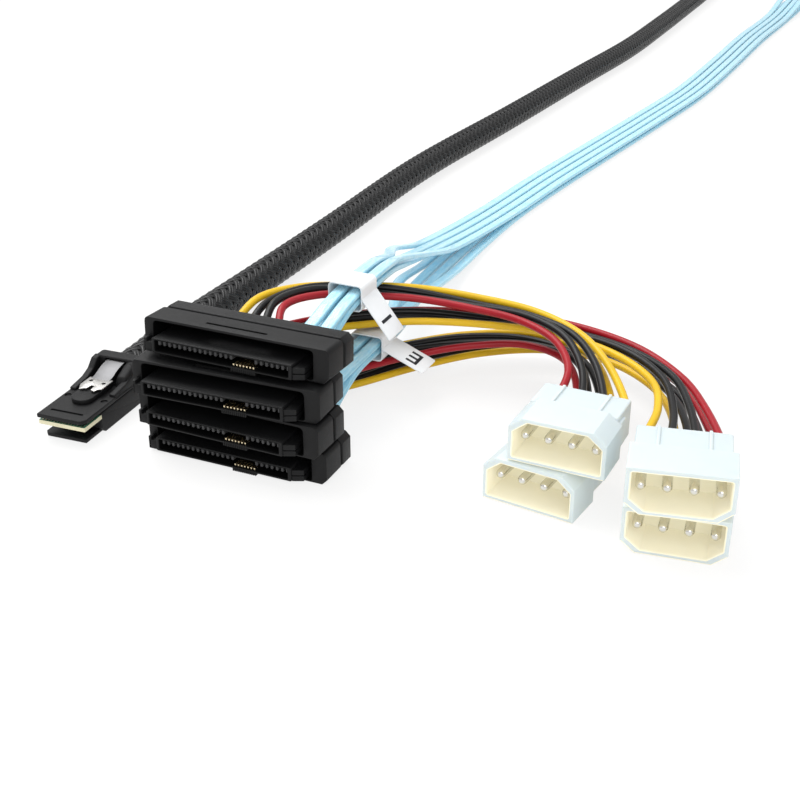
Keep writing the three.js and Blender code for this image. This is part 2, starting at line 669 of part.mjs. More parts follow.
// Place of a lane in the bundle of four: two by two, or side by side
function laneOffset(lane, shape) {
  const outer = lane === 0 || lane === 3;
  const side = lane < 2 ? -1 : 1;
  if (shape === 'pairs') {
    return { across: side * PAIR_HALF, up: outer ? LAYER_STEP / 2 : -LAYER_STEP / 2 };
  }
  if (shape === 'lifting') {
    return { across: (lane - 1.5) * LANE_SPACING, up: outer ? LAYER_STEP : 0 };
  }
  return { across: (lane - 1.5) * LANE_SPACING, up: 0 };
}

// Level of a lane among the four that stand one over the other at the mouth of the sleeve
function mouthLevel(bundleIndex, lane) {
  const outer = lane === 0 || lane === 3;
  const order = bundleIndex === 0 ? (outer ? 0 : 1) : (outer ? 3 : 2);
  return SLEEVE_RADIUS + 0.1 + (order - 1.5) * MOUTH_STEP;
}

function ribbon(bundleIndex, lane, driveFrames) {
  const bundle = BUNDLES[bundleIndex];
  const outer = lane === 0 || lane === 3;
  const drive = bundle.drives[outer ? 0 : 1];
  const frame = driveFrames[drive];
  const exitX = RIBBON_EXIT.x[lane < 2 ? 0 : 1];
  const rear = DRIVE_DEPTH + TOUCH_GAP;
  const points = [
    worldPoint(frame, exitX, rear, RIBBON_EXIT.z),
    worldPoint(frame, exitX, rear + RIBBON_LEAD, RIBBON_EXIT.z),
  ];
  const add = ([x, y, z], offset) => points.push([x + offset.across, y, z + offset.up]);
  bundle.gathered.forEach((station) => add(station, laneOffset(lane, 'pairs')));
  bundle.fanned.forEach((station, k) => add(station, laneOffset(lane, k === 0 ? 'lifting' : 'floor')));
  for (const [x, y] of FLOOR_ROUTE) add([x, y, bundle.floorLevel], laneOffset(lane, 'floor'));
  const level = mouthLevel(bundleIndex, lane);
  add([...LIFTED, level], laneOffset(lane, 'floor'));
  const column = lane < 2 ? -LANE_SPACING / 2 : LANE_SPACING / 2;
  add([...MOUTH, level], { across: column, up: 0 });
  add([...MOUTH_END, level], { across: column, up: 0 });
  const name = `ribbon_${drive + 1}_${lane < 2 ? 'left' : 'right'}`;
  return cord(name, ribbonSection(), points, RIBBON_STEPS, MATERIALS.ribbon);
}

// Flag labels: a band around each bundle of four with a flag that stands off it
const LABEL_LENGTH = 8;
const BAND = { halfWidth: 4.3, halfHeight: 3.2, wall: 0.45 };
const FLAG_LENGTH = 11.5;
const UPPER_LABEL = { x: 12.5, y: 40, z: 29.25, slope: -52 };
const LOWER_LABEL = { x: 13.4, y: 49, z: 13.03, slope: -22 };

function label(name, { x, y, z, slope }) {
  const { halfWidth, halfHeight, wall } = BAND;
  const half = LABEL_LENGTH / 2;
  const outer = box([-halfWidth, halfWidth], [-half, half], [-halfHeight, halfHeight]);
  const inner = box(
    [-halfWidth + wall, halfWidth - wall],
    [-half - 1, half + 1],
    [-halfHeight + wall, halfHeight - wall],
  );
  const flagPlate = new THREE.BoxGeometry(FLAG_LENGTH, LABEL_LENGTH, wall)
    .translate(FLAG_LENGTH / 2 - JOIN, 0, 0)
    .rotateY(THREE.MathUtils.degToRad(-slope))
    .translate(halfWidth - wall / 2, 0, 0);
  const body = outer.subtract(inner).add(solid(flagPlate));
  const piece = mesh(name, body, MATERIALS.paper);
  piece.position.set(x, y, z);
  return piece;
}

const cable = new THREE.Group();
const driveFrames = DRIVE_PLACES.map((_, level) => {
  const group = driveConnector(level);
  cable.add(group);
  return group.children[0].children[0];
});
const plug = latchedPlug();
cable.add(plug);
const powerFrames = {};
for (const place of POWER_PLACES) {
  const group = powerPlug(place);
  powerFrames[place.name] = group;
  cable.add(group);
}
cable.add(trunk(plug));
WIRE_ROWS.forEach((_, level) => cable.add(...wireRow(level, driveFrames[level], powerFrames)));
for (const bundleIndex of [0, 1]) {
  for (let lane = 0; lane < 4; lane += 1) cable.add(ribbon(bundleIndex, lane, driveFrames));
}
cable.add(label('label_1', UPPER_LABEL), label('label_2', LOWER_LABEL));
cable.position.y = -(HOOD_SETBACK + HOOD_DEPTH / 2);

export default cable;
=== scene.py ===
"""Looks of a breakout cable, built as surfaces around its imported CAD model.

Metres, +Z up. Shapes are worked out in millimetres in the place of the piece that they belong
to, measured from the lowest drive connector's mating face, and go into the frame by in_frame.
"""
import math

import bpy
import numpy as np
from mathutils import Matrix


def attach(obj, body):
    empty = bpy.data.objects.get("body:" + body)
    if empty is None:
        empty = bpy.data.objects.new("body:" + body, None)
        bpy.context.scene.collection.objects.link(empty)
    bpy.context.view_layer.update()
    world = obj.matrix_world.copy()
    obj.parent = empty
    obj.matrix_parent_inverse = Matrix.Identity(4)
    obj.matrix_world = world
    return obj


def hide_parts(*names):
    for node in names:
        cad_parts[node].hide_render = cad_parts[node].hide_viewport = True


bl_info = {
    "name": "Breakout cable looks",
    "version": (1, 0, 0),
    "blender": (4, 5, 0),
    "location": "View3D > Sidebar > Cable",
    "description": "Dresses the packed breakout cable with its surfaces and finishes",
    "category": "Object",
}

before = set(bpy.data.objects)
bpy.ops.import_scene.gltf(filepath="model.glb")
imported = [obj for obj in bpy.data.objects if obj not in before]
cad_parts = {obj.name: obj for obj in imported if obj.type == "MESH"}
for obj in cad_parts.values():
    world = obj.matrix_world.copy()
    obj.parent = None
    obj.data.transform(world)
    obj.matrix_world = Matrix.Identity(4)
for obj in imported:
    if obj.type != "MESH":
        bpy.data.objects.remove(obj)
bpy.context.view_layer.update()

MM = 0.001
ROOT = "cable"
LATCH_BODY = "latch"
UP = np.array([0.0, 0.0, 1.0])

# Driving dimensions of the CAD model, in millimetres
ORIGIN_BACK = 6.1
CONTACT_PITCH = 1.27
POWER_CONTACTS = 15
SIGNAL_CONTACTS = 7
SEGMENT_GAP = 6.0
FINE_COUNT = 7
FINE_PITCH = 0.8
DRIVE_HEIGHT = 7.6
DRIVE_DEPTH = 14.6
DRIVE_WIDTH = 44.9
HOOD_SETBACK = 2.6
HOOD_DEPTH = 7.0
TOUCH_GAP = 0.3
PLUG_WIDTH = 12.4
PLUG_LENGTH = 32.0
PLUG_HEIGHT = 6.7
PLUG_REAR_HEIGHT = 11.2
PIN_PITCH = 5.08
PIN_COUNT = 4
POWER_WIDTH = 21.0
POWER_HEIGHT = 10.3
SHROUD_DEPTH = 10.5
POWER_LENGTH = 19.5
SLEEVE_DIAMETER = 9.8
RIBBON_WIDTH = 3.0
RIBBON_THICKNESS = 1.3
WIRE_DIAMETER = 1.8
LEAN_LINE = 11.0

# What follows from them
CONTACT_SPAN = (POWER_CONTACTS + SIGNAL_CONTACTS - 2) * CONTACT_PITCH + SEGMENT_GAP
FIRST_POWER_X = -CONTACT_SPAN / 2
LAST_POWER_X = FIRST_POWER_X + (POWER_CONTACTS - 1) * CONTACT_PITCH
FIRST_SIGNAL_X = LAST_POWER_X + SEGMENT_GAP
RECEPTACLE_LEFT = FIRST_POWER_X - 1.8
RECEPTACLE_RIGHT = CONTACT_SPAN / 2 + 1.0
HOOD_LEFT = RECEPTACLE_LEFT - 3.4
HOOD_RIGHT = HOOD_LEFT + DRIVE_WIDTH
HOOD_BACK = HOOD_SETBACK + HOOD_DEPTH
STACK_PITCH = DRIVE_HEIGHT + TOUCH_GAP
POWER_STACK_PITCH = POWER_HEIGHT + TOUCH_GAP


def turned(axis, degrees):
    """Rotation matrix about X (0), Y (1) or Z (2)."""
    a, b = [(1, 2), (2, 0), (0, 1)][axis]
    matrix = np.eye(3)
    angle = math.radians(degrees)
    matrix[a, a] = matrix[b, b] = math.cos(angle)
    matrix[b, a], matrix[a, b] = math.sin(angle), -math.sin(angle)
    return matrix


class Place:
    """Where a piece stands: a point of it is turned by a matrix and then moved, in millimetres."""

    def __init__(self, turn, move):
        self.turn = turn
        self.move = np.array(move, float)

    def of(self, points):
        return np.asarray(points, float) @ self.turn.T + self.move


def leaning_place(x, y, level, turn, lean):
    """Place of a drive connector: leaned about a line under its cover, then turned about Z."""
    pivot = np.array([0, LEAN_LINE, 0])
    lean_matrix = turned(0, lean)
    heading = turned(2, turn)
    shift = heading @ (pivot - lean_matrix @ pivot)
    return Place(heading @ lean_matrix, shift + [x, y, level * STACK_PITCH])


def power_place(x, y, level, turn, roll):
    """Place of a power plug, whose own middle is at half its height."""
    height = level * POWER_STACK_PITCH + POWER_HEIGHT / 2
    return Place(turned(2, turn) @ turned(1, roll), [x, y, height])


DRIVES = [
    leaning_place(0, 0, 0, 0, 0),
    leaning_place(0, -3.0, 1, -1.1, 0),
    leaning_place(0.2, -3.2, 2, 2.4, 0),
    leaning_place(0.9, 0.4, 3, 0, -3),
]
PLUG = Place(turned(2, 3), [-39.3, -5.3, 0])
POWER_PLUGS = {
    "power_left_lower": power_place(66.4, 10.7, 0, -7.5, 0),
    "power_left_upper": power_place(71.8, 11.2, 1, -1.8, 0),
    "power_right_lower": power_place(98.4, 5.2, 0, 7, 180),
    "power_right_upper": power_place(99.0, 3.0, 1, 11.5, 180),
}


# Surfaces

SHORTEST_EDGE = 1e-9
LEAST_MITRE = 0.3
CURVE_STEPS = 40


def in_frame(points):
    """Millimetres from the lowest mating face, to metres in the frame."""
    return (np.asarray(points, float) - [0, ORIGIN_BACK, 0]) * MM


class Shell:
    """One surface: corners, faces, a map of two numbers per corner and a paint per face."""

    def __init__(self, points, faces, chart=None, paint=0):
        self.points = np.asarray(points, float)
        self.faces = faces
        self.chart = np.zeros((len(self.points), 2)) if chart is None else chart
        self.paints = [paint] * len(faces) if isinstance(paint, int) else paint

    def at(self, place):
        return Shell(place.of(self.points), self.faces, self.chart, self.paints)


def rings(grid, chart=None, loop=False, paint=0):
    """Closed rings joined in order: corner (i, j) meets (i, j + 1) and (i + 1, j). A ring runs
    anticlockwise seen from where the rings go, so that the faces point outwards. The last ring
    meets the first in a loop, and otherwise the two ends are closed."""
    count, around = grid.shape[:2]
    index = np.arange(count * around).reshape(count, around)
    if loop:
        index = np.vstack([index, index[:1]])
    across = np.roll(index, -1, axis=1)
    quads = np.stack([index[:-1], across[:-1], across[1:], index[1:]], axis=-1)
    faces = quads.reshape(-1, 4).tolist()
    if not loop:
        faces += [index[0, ::-1].tolist(), index[-1].tolist()]
    chart = None if chart is None else chart.reshape(-1, 2)
    return Shell(grid.reshape(-1, 3), faces, chart, paint)


def rounded(corners, radius, steps=4):
    """Outline with each corner replaced by an arc: a point goes from one tangent point to the
    other by (1 - t)^2 a + 2 t (1 - t) corner + t^2 b."""
    corner = np.array(corners, float)
    radii = np.broadcast_to(np.asarray(radius, float), len(corner))[:, None]
    back = np.roll(corner, 1, axis=0) - corner
    ahead = np.roll(corner, -1, axis=0) - corner
    back /= np.linalg.norm(back, axis=1, keepdims=True)
    ahead /= np.linalg.norm(ahead, axis=1, keepdims=True)
    half = np.arccos(np.clip((back * ahead).sum(1), -1, 1)) / 2
    reach = radii / np.tan(half)[:, None]
    t = np.linspace(0, 1, steps + 1)[None, :, None]
    a, b = (corner + back * reach)[:, None], (corner + ahead * reach)[:, None]
    arc = (1 - t) ** 2 * a + 2 * t * (1 - t) * corner[:, None] + t**2 * b
    return arc.reshape(-1, 2)


def rectangle(x0, x1, z0, z1):
    """Four corners, anticlockwise from the lowest left."""
    return [(x0, z0), (x1, z0), (x1, z1), (x0, z1)]


def inset(outline, amount):
    """Outline moved inwards: each point by the mitre of its two edges' inward normals."""
    edge = np.roll(outline, -1, axis=0) - outline
    edge /= np.maximum(np.linalg.norm(edge, axis=1, keepdims=True), SHORTEST_EDGE)
    normal = np.stack([-edge[:, 1], edge[:, 0]], axis=1)
    before = np.roll(normal, 1, axis=0)
    share = 1 + (normal * before).sum(1, keepdims=True)
    return outline + amount * (normal + before) / np.maximum(share, LEAST_MITRE)


def stood(outline, level, axis):
    """An outline at a level: drawn across Y and Z for axis x, X and Z for y, X and Y for z."""
    a, b = outline[:, 0], outline[:, 1]
    c = np.full(len(a), float(level))
    return np.stack({"x": (c, a, b), "y": (a, c, b), "z": (a, b, c)}[axis], axis=1)


def stacked(levels, axis):
    """Outlines at their levels along an axis, as a grid of rings."""
    return np.stack([stood(outline, level, axis) for outline, level in levels])


def slab(outline, low, high, axis="z", edge=0.2, steps=2, paint=0):
    """Outline carried along an axis, its rims rounded: inset edge (1 - sin t), level edge
    (1 - cos t) from either end, t from 0 to a right angle."""
    outline = np.asarray(outline, float)
    t = np.linspace(0, math.pi / 2, steps + 1)
    insets, rise = edge * (1 - np.sin(t)), edge * (1 - np.cos(t))
    levels = [(inset(outline, i), low + r) for i, r in zip(insets, rise)]
    levels += [(inset(outline, i), high - r) for i, r in zip(insets[::-1], rise[::-1])]
    if axis == "y":
        levels.reverse()
    return rings(stacked(levels, axis), paint=paint)


def pocket_block(outer, inner, front, back, floor, edge=0.2, lip=0.2):
    """Block along Y with a pocket from its front: rings go forward outside, round the lip and
    back inside to the pocket's floor. The pocket has the second paint."""
    levels = [(outer, edge, back), (outer, 0.0, back - edge)]
    levels += [(outer, 0.0, front + lip), (outer, 0.3 * lip, front + 0.3 * lip)]
    levels += [(outer, lip, front), (inner, -lip, front), (inner, -0.3 * lip, front + 0.3 * lip)]
    levels += [(inner, 0.0, front + lip), (inner, 0.0, floor)]
    grid = stacked([(inset(outline, i), level) for outline, i, level in levels], "y")
    around = len(outer)
    return rings(grid, paint=[0] * (5 * around) + [1] * (3 * around) + [0, 1])


def even_line(route, count):
    """Centripetal Catmull-Rom curve through the route, as the CAD cords follow, cut into equal
    lengths: a span's time is the root of its length, and a cubic joins two points by the
    tangents that those times give."""
    p = np.array(route, float)
    p = np.vstack([2 * p[0] - p[1], p, 2 * p[-1] - p[-2]])
    time = np.sqrt(np.linalg.norm(np.diff(p, axis=0), axis=1))[:, None]
    before, here, after = time[:-2], time[1:-1], time[2:]
    a, b, c, d = p[:-3], p[1:-2], p[2:-1], p[3:]
    leave = ((b - a) / before - (c - a) / (before + here) + (c - b) / here) * here
    arrive = ((c - b) / here - (d - b) / (here + after) + (d - c) / after) * here
    t = np.linspace(0, 1, CURVE_STEPS, endpoint=False)[None, :, None]
    leave, arrive, b, c = (v[:, None] for v in (leave, arrive, b, c))
    curve = b + leave * t + (3 * (c - b) - 2 * leave - arrive) * t**2
    curve = curve + (2 * (b - c) + leave + arrive) * t**3
    curve = np.vstack([curve.reshape(-1, 3), p[-2]])
    far = np.concatenate([[0], np.cumsum(np.linalg.norm(np.diff(curve, axis=0), axis=1))])
    at = np.linspace(0, far[-1], count)
    return np.stack([np.interp(at, far, curve[:, k]) for k in range(3)], axis=1)


def length_of(line):
    """Sum of the distances between the points of a line."""
    return float(np.linalg.norm(np.diff(line, axis=0), axis=1).sum())


def level_frame(line):
    """Side and rise along a line, the side kept level: side = up x tangent."""
    tangent = np.gradient(line, axis=0)
    tangent /= np.linalg.norm(tangent, axis=1, keepdims=True)
    side = np.cross(UP, tangent)
    side /= np.linalg.norm(side, axis=1, keepdims=True)
    return side, np.cross(tangent, side)


def length_chart(line, across):
    """Map of a cord: the length along its line and the share across it."""
    far = np.linspace(0, length_of(line), len(line))
    return np.stack(np.broadcast_arrays(far[:, None], across[None]), axis=-1)


def swept(line, section, across=None):
    """Section carried along a line: point = line + side * a + rise * b."""
    side, rise = level_frame(line)
    grid = line[:, None] + side[:, None] * section[:, :1] + rise[:, None] * section[:, 1:]
    across = np.zeros(len(section)) if across is None else across
    return rings(grid, length_chart(line, across))


def circle(radius, count):
    """Points at the radius times the cosine and the sine of even steps of a turn."""
    angle = np.arange(count) * 2 * math.pi / count
    return np.stack([radius * np.cos(angle), radius * np.sin(angle)], axis=1)


def spread(count, pitch, middle=0.0):
    """Places of a row: its middle plus the pitch times each number less the middle number."""
    return [middle + (k - (count - 1) / 2) * pitch for k in range(count)]


def span(middle, half):
    """Two ends, a half to either side of a middle."""
    return (middle - half, middle + half)


def block(x, y, z, axis="z", edge=0.1, corner=0.12, paint=0):
    """Box between two values along each axis, its edges softened."""
    (a, b), (low, high) = {"x": ((y, z), x), "y": ((x, z), y), "z": ((x, y), z)}[axis]
    return slab(rounded(rectangle(*a, *b), corner, 2), low, high, axis, edge, paint=paint)


def cut_out(made, shells):
    """Cuts closed shells out of an object and keeps the result as its mesh."""
    tool = object_of("cutter", shells)
    modifier = made.modifiers.new("cut", "BOOLEAN")
    modifier.object = tool
    modifier.operation = "DIFFERENCE"
    modifier.solver = "EXACT"
    bpy.context.view_layer.update()
    graph = bpy.context.evaluated_depsgraph_get()
    result = bpy.data.meshes.new_from_object(made.evaluated_get(graph))
    made.modifiers.clear()
    made.data = result
    bpy.data.objects.remove(tool)


def object_of(name, shells):
    """Object that holds the shells, which are already in the frame's metres."""
    points, faces, charts, slots, start = [], [], [], [], 0
    for shell in shells:
        points.append(shell.points)
        charts.append(shell.chart)
        slots += shell.paints
        faces += [[i + start for i in face] for face in shell.faces]
        start += len(shell.points)
    mesh = bpy.data.meshes.new(name)
    mesh.from_pydata(np.vstack(points), [], faces)
    mesh.polygons.foreach_set("material_index", slots)
    corner = np.empty(len(mesh.loops), int)
    mesh.loops.foreach_get("vertex_index", corner)
    chart = mesh.uv_layers.new(name="Chart")
    chart.data.foreach_set("uv", np.vstack(charts)[corner].ravel())
    mesh.update()
    made = bpy.data.objects.new(name, mesh)
    bpy.context.scene.collection.objects.link(made)
    return made


def piece(name, shells, paints, body=ROOT, replaces=(), sharp=32, cuts=()):
    """Puts surfaces that are already in the frame's metres into one object on a body."""
    made = object_of(name, shells)
    for paint in paints:
        made.data.materials.append(paint)
    if cuts:
        cut_out(made, cuts)
        made.data.name = name
    made.data.polygons.foreach_set("use_smooth", [True] * len(made.data.polygons))
    made.data.set_sharp_from_angle(angle=math.radians(sharp))
    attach(made, body)
    if replaces:
        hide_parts(*replaces)
    return made


def framed(shells, place=None):
    """Shells in millimetres in a place, to shells in the frame's metres."""
    if place:
        shells = [shell.at(place) for shell in shells]
    return [Shell(in_frame(s.points), s.faces, s.chart, s.paints) for s in shells]


# Paints


class Signal:
    """A shader socket whose arithmetic adds the Math nodes that work it out."""

    def __init__(self, paint, socket):
        self.paint = paint
        self.socket = socket

    def math(self, operation, *others, clamp=False):
        settings = {"operation": operation, "use_clamp": clamp}
        return self.paint.node("ShaderNodeMath", settings, dict(enumerate((self, *others))))

    def __add__(self, other):
        return self.math("ADD", other)

    def __sub__(self, other):
        return self.math("SUBTRACT", other)

    def __rsub__(self, other):
        return self.math("MULTIPLY_ADD", -1.0, other)

    def __mul__(self, other):
        return self.math("MULTIPLY", other)

    __radd__ = __add__
    __rmul__ = __mul__

    def sine(self):
        return self.math("SINE")

    def size(self):
        return self.math("ABSOLUTE")

    def within(self):
        return self.math("ADD", 0.0, clamp=True)


class Paint:
    """A material whose surface is one Principled shader, fed by the nodes that are added."""

    def __init__(self, name, fixed):
        self.material = bpy.data.materials.new(name)
        self.material.use_nodes = True
        self.tree = self.material.node_tree
        self.tree.nodes.clear()
        self.shader = self.tree.nodes.new("ShaderNodeBsdfPrincipled")
        output = self.tree.nodes.new("ShaderNodeOutputMaterial")
        self.tree.links.new(self.shader.outputs[0], output.inputs["Surface"])
        self.feed(fixed)

    def feed(self, values, inputs=None):
        for key, value in values.items():
            socket = (inputs or self.shader.inputs)[key]
            if isinstance(value, Signal):
                self.tree.links.new(value.socket, socket)
            elif isinstance(value, tuple) and len(value) == 3 and socket.type == "RGBA":
                socket.default_value = (*value, 1.0)
            else:
                socket.default_value = value

    def node(self, kind, settings=None, values=None, output=0):
        made = self.tree.nodes.new(kind)
        for key, value in (settings or {}).items():
            setattr(made, key, value)
        self.feed(values or {}, made.inputs)
        return Signal(self, made.outputs[output])

    def place(self):
        """Object coordinates, in metres."""
        return self.node("ShaderNodeTexCoord", output="Object")

    def chart(self):
        """Length along a cord in metres, and share across it."""
        uv = self.node("ShaderNodeUVMap", {"uv_map": "Chart"})
        split = self.node("ShaderNodeSeparateXYZ", None, {0: uv})
        return split, Signal(self, split.socket.node.outputs["Y"])

    def vector(self, *parts):
        return self.node("ShaderNodeCombineXYZ", None, dict(enumerate(parts)))

    def noise(self, scale, vector=None, detail=2.0, roughness=0.5):
        values = {"Vector": vector or self.place(), "Scale": scale, "Detail": detail}
        return self.node("ShaderNodeTexNoise", None, {**values, "Roughness": roughness})

    def blend(self, share, one, other):
        """Colour that goes from one to the other by share."""
        settings = {"data_type": "RGBA"}
        return self.node("ShaderNodeMix", settings, {0: share, 6: one, 7: other}, output=2)

    def bump(self, height, depth):
        """Normal of a surface raised by height, 0 to 1, times a depth in metres."""
        values = {"Height": height, "Distance": depth}
        self.feed({"Normal": self.node("ShaderNodeBump", None, values)})

    def tint(self, share, colour, low, high=1.0):
        """Colour that goes from its low tone to its high tone by share."""
        self.feed({"Base Color": self.blend(share, darker(colour, low), darker(colour, high))})


def darker(colour, share):
    return tuple(c * share for c in colour)


def moulding(name, colour, roughness, shine=0.2):
    """Moulded plastic: spark-eroded grain, and patches where it is a little more polished."""
    paint = Paint(name, {"Specular IOR Level": shine})
    patches = paint.noise(140.0, detail=3.0)
    fine = paint.noise(9000.0)
    paint.tint(patches, colour, 0.8, 1.25)
    paint.feed({"Roughness": roughness - 0.09 + patches * 0.12 + fine * 0.08})
    paint.bump(fine, 0.00003)
    return paint.material


def insulation(name, colour):
    """Glossy wire insulation with a faint waviness from the extruder."""
    paint = Paint(name, {"Specular IOR Level": 0.28})
    along, _ = paint.chart()
    slow = paint.noise(1.0, paint.vector(along * 90.0, 0.0, 0.0), detail=1.0)
    fine = paint.noise(2600.0)
    paint.tint(slow, colour, 0.82, 1.12)
    paint.feed({"Roughness": 0.27 + fine * 0.14})
    paint.bump(fine * 0.4 + slow, 0.00004)
    return paint.material


def metal(name, colour, roughness):
    """Rolled metal: its polish varies a little, and it has a fine grain."""
    paint = Paint(name, {"Metallic": 1.0})
    tarnish = paint.noise(700.0, detail=3.0)
    fine = paint.noise(6000.0)
    paint.tint(tarnish, colour, 0.78)
    paint.feed({"Roughness": roughness - 0.06 + tarnish * 0.14})
    paint.bump(fine, 0.00001)
    return paint.material


def milky_with_painted_glow(name, colour, glow):
    """Natural nylon: light soaks in and comes out again, so that it is soft and cloudy. It also
    gives off its own colour at the glow strength, a painted glow that stands in for light coming
    through it.
    """
    # Emission in the nylon's own colour: a painted glow, though the plug is no lamp
    paint = Paint(name, {"Specular IOR Level": 0.35, "Subsurface Weight": 0.35,
                         "Subsurface Radius": (0.004, 0.0035, 0.0025), "Subsurface Scale": 0.5,
                         "Emission Color": (*colour, 1.0), "Emission Strength": glow})
    cloud = paint.noise(260.0, detail=3.0)
    fine = paint.noise(5200.0)
    paint.tint(cloud, colour, 0.94)
    paint.feed({"Roughness": 0.34 + fine * 0.14})
    paint.bump(fine, 0.00003)
    return paint.material


def film(name, colour):
    """White label film: nearly smooth, with a faint waviness from being wrapped."""
    paint = Paint(name, {"Specular IOR Level": 0.5, "Coat Weight": 0.3, "Coat Roughness": 0.2})
    wave = paint.noise(420.0)
    paint.tint(wave, colour, 0.93)
    paint.feed({"Roughness": 0.38 + wave * 0.12})
    paint.bump(wave, 0.0001)
    return paint.material


# Settings


def colour_property(name, description, default):
    return bpy.props.FloatVectorProperty(
        name=name, description=description, default=default, subtype="COLOR", min=0, max=1)


def length_property(name, description, default):
    return bpy.props.FloatProperty(
        name=name, description=description, default=default, unit="LENGTH", precision=5)


class CameraSettings(bpy.types.PropertyGroup):
    """Where the photograph was taken from."""

    place: bpy.props.FloatVectorProperty(
        name="Place", description="Where the camera stands", default=(0.1365, -0.2167, 0.1437),
        subtype="TRANSLATION", unit="LENGTH")
    elevation: bpy.props.FloatProperty(
        name="Elevation", description="How far the camera looks down",
        default=math.radians(27.07), subtype="ANGLE")
    azimuth: bpy.props.FloatProperty(
        name="Azimuth", description="How far the camera is turned left from +Y",
        default=math.radians(24.08), subtype="ANGLE")
    lens: bpy.props.FloatProperty(
        name="Lens", description="Focal length on a 36 mm sensor", default=58.5)


class StageSettings(bpy.types.PropertyGroup):
    """The pale floor and the soft studio light."""

    floor: colour_property("Floor", "Colour of the floor", (0.93, 0.92, 0.91))
    glow: bpy.props.FloatProperty(
        name="Glow", description="Share of the floor that shows as plain white",
        default=0.8, subtype="FACTOR", min=0, max=1)
    sky: bpy.props.FloatProperty(
        name="Sky", description="Strength of the even light all round", default=0.75)
    key: bpy.props.FloatProperty(
        name="Key", description="Power of the large softbox", default=7.0, unit="POWER")


class CordSettings(bpy.types.PropertyGroup):
    """The braided trunk, the flat signal ribbons and the power wires."""

    carriers: bpy.props.IntProperty(
        name="Carriers", description="Strands in each direction of the braid", default=10)
    lay: length_property("Lay", "Length of one turn of a strand", 0.034)
    strand_width: length_property("Strand width", "Width of a flat strand", 0.0023)
    strand_thickness: length_property("Strand thickness", "Thickness of a strand", 0.0003)
    braid: colour_property("Braid", "Colour of the strands", (0.0045, 0.0046, 0.005))
    ribbon: colour_property("Ribbon", "Colour of the ribbons' film", (0.25, 0.68, 0.90))
    foil: colour_property("Foil", "Colour where the foil shines through", (0.76, 0.95, 0.99))
    yellow: colour_property("Yellow", "Yellow insulation", (0.72, 0.45, 0.012))
    red: colour_property("Red", "Red insulation", (0.33, 0.006, 0.014))
    black: colour_property("Black", "Black insulation", (0.005, 0.005, 0.0055))


class DriveSettings(bpy.types.PropertyGroup):
    """The four stacked drive connectors."""

    housing: colour_property("Housing", "Colour of the moulded housing", (0.0058, 0.0059, 0.0063))
    cover: colour_property("Cover", "Colour of the rear cover", (0.0066, 0.0067, 0.0071))
    comb: colour_property("Comb", "Colour of the comb that holds the contacts",
                          (0.034, 0.034, 0.035))
    gold: colour_property("Gold", "Colour of the fine contacts", (0.92, 0.78, 0.52))


class PlugSettings(bpy.types.PropertyGroup):
    """The latched plug at the trunk's near end."""

    shell: colour_property("Shell", "Colour of the plug's shells", (0.0065, 0.0065, 0.007))
    steel: colour_property("Steel", "Colour of the latch's plate", (0.56, 0.55, 0.53))
    strip: colour_property("Strip", "Colour of the latch's duller strip", (0.22, 0.22, 0.225))
    card: colour_property("Card", "Colour of the card's face", (0.05, 0.17, 0.11))
    edge: colour_property("Edge", "Colour of the card's cut edge", (0.60, 0.57, 0.40))


class PowerSettings(bpy.types.PropertyGroup):
    """The four power plugs and the two flag labels."""

    outside: colour_property("Outside", "Nylon where light falls on it", (0.53, 0.595, 0.61))
    inside: colour_property("Inside", "Nylon where light comes through it", (0.70, 0.665, 0.52))
    pin: colour_property("Pin", "Colour of the pins", (0.80, 0.79, 0.74))
    label: colour_property("Label", "Colour of the label film", (0.82, 0.84, 0.86))
    ink: colour_property("Ink", "Colour of the print", (0.02, 0.02, 0.025))


# Cords

# Routes repeated from the CAD source, in metres from the lowest mating face
SLEEVE_ROUTE = [
    (-0.0428, 0.044, 0.0051), (-0.0426, 0.062, 0.005), (-0.0422, 0.090, 0.005),
    (-0.042, 0.135, 0.005), (-0.0426, 0.205, 0.005), (-0.037, 0.286, 0.005),
    (-0.032, 0.366, 0.005), (-0.0275, 0.434, 0.005), (-0.027, 0.505, 0.005),
    (-0.0275, 0.581, 0.005), (-0.027, 0.640, 0.005), (-0.020, 0.666, 0.005),
    (0.0, 0.678, 0.005), (0.020, 0.668, 0.005), (0.0264, 0.6595, 0.005), (0.027, 0.652, 0.005),
]
WIRE_EXIT_X = -0.00175
WIRE_EXIT_Z = 0.0038
WIRE_SPACING = 0.0035
WIRE_LEAD = 0.003
WIRE_SWAY = 0.00045
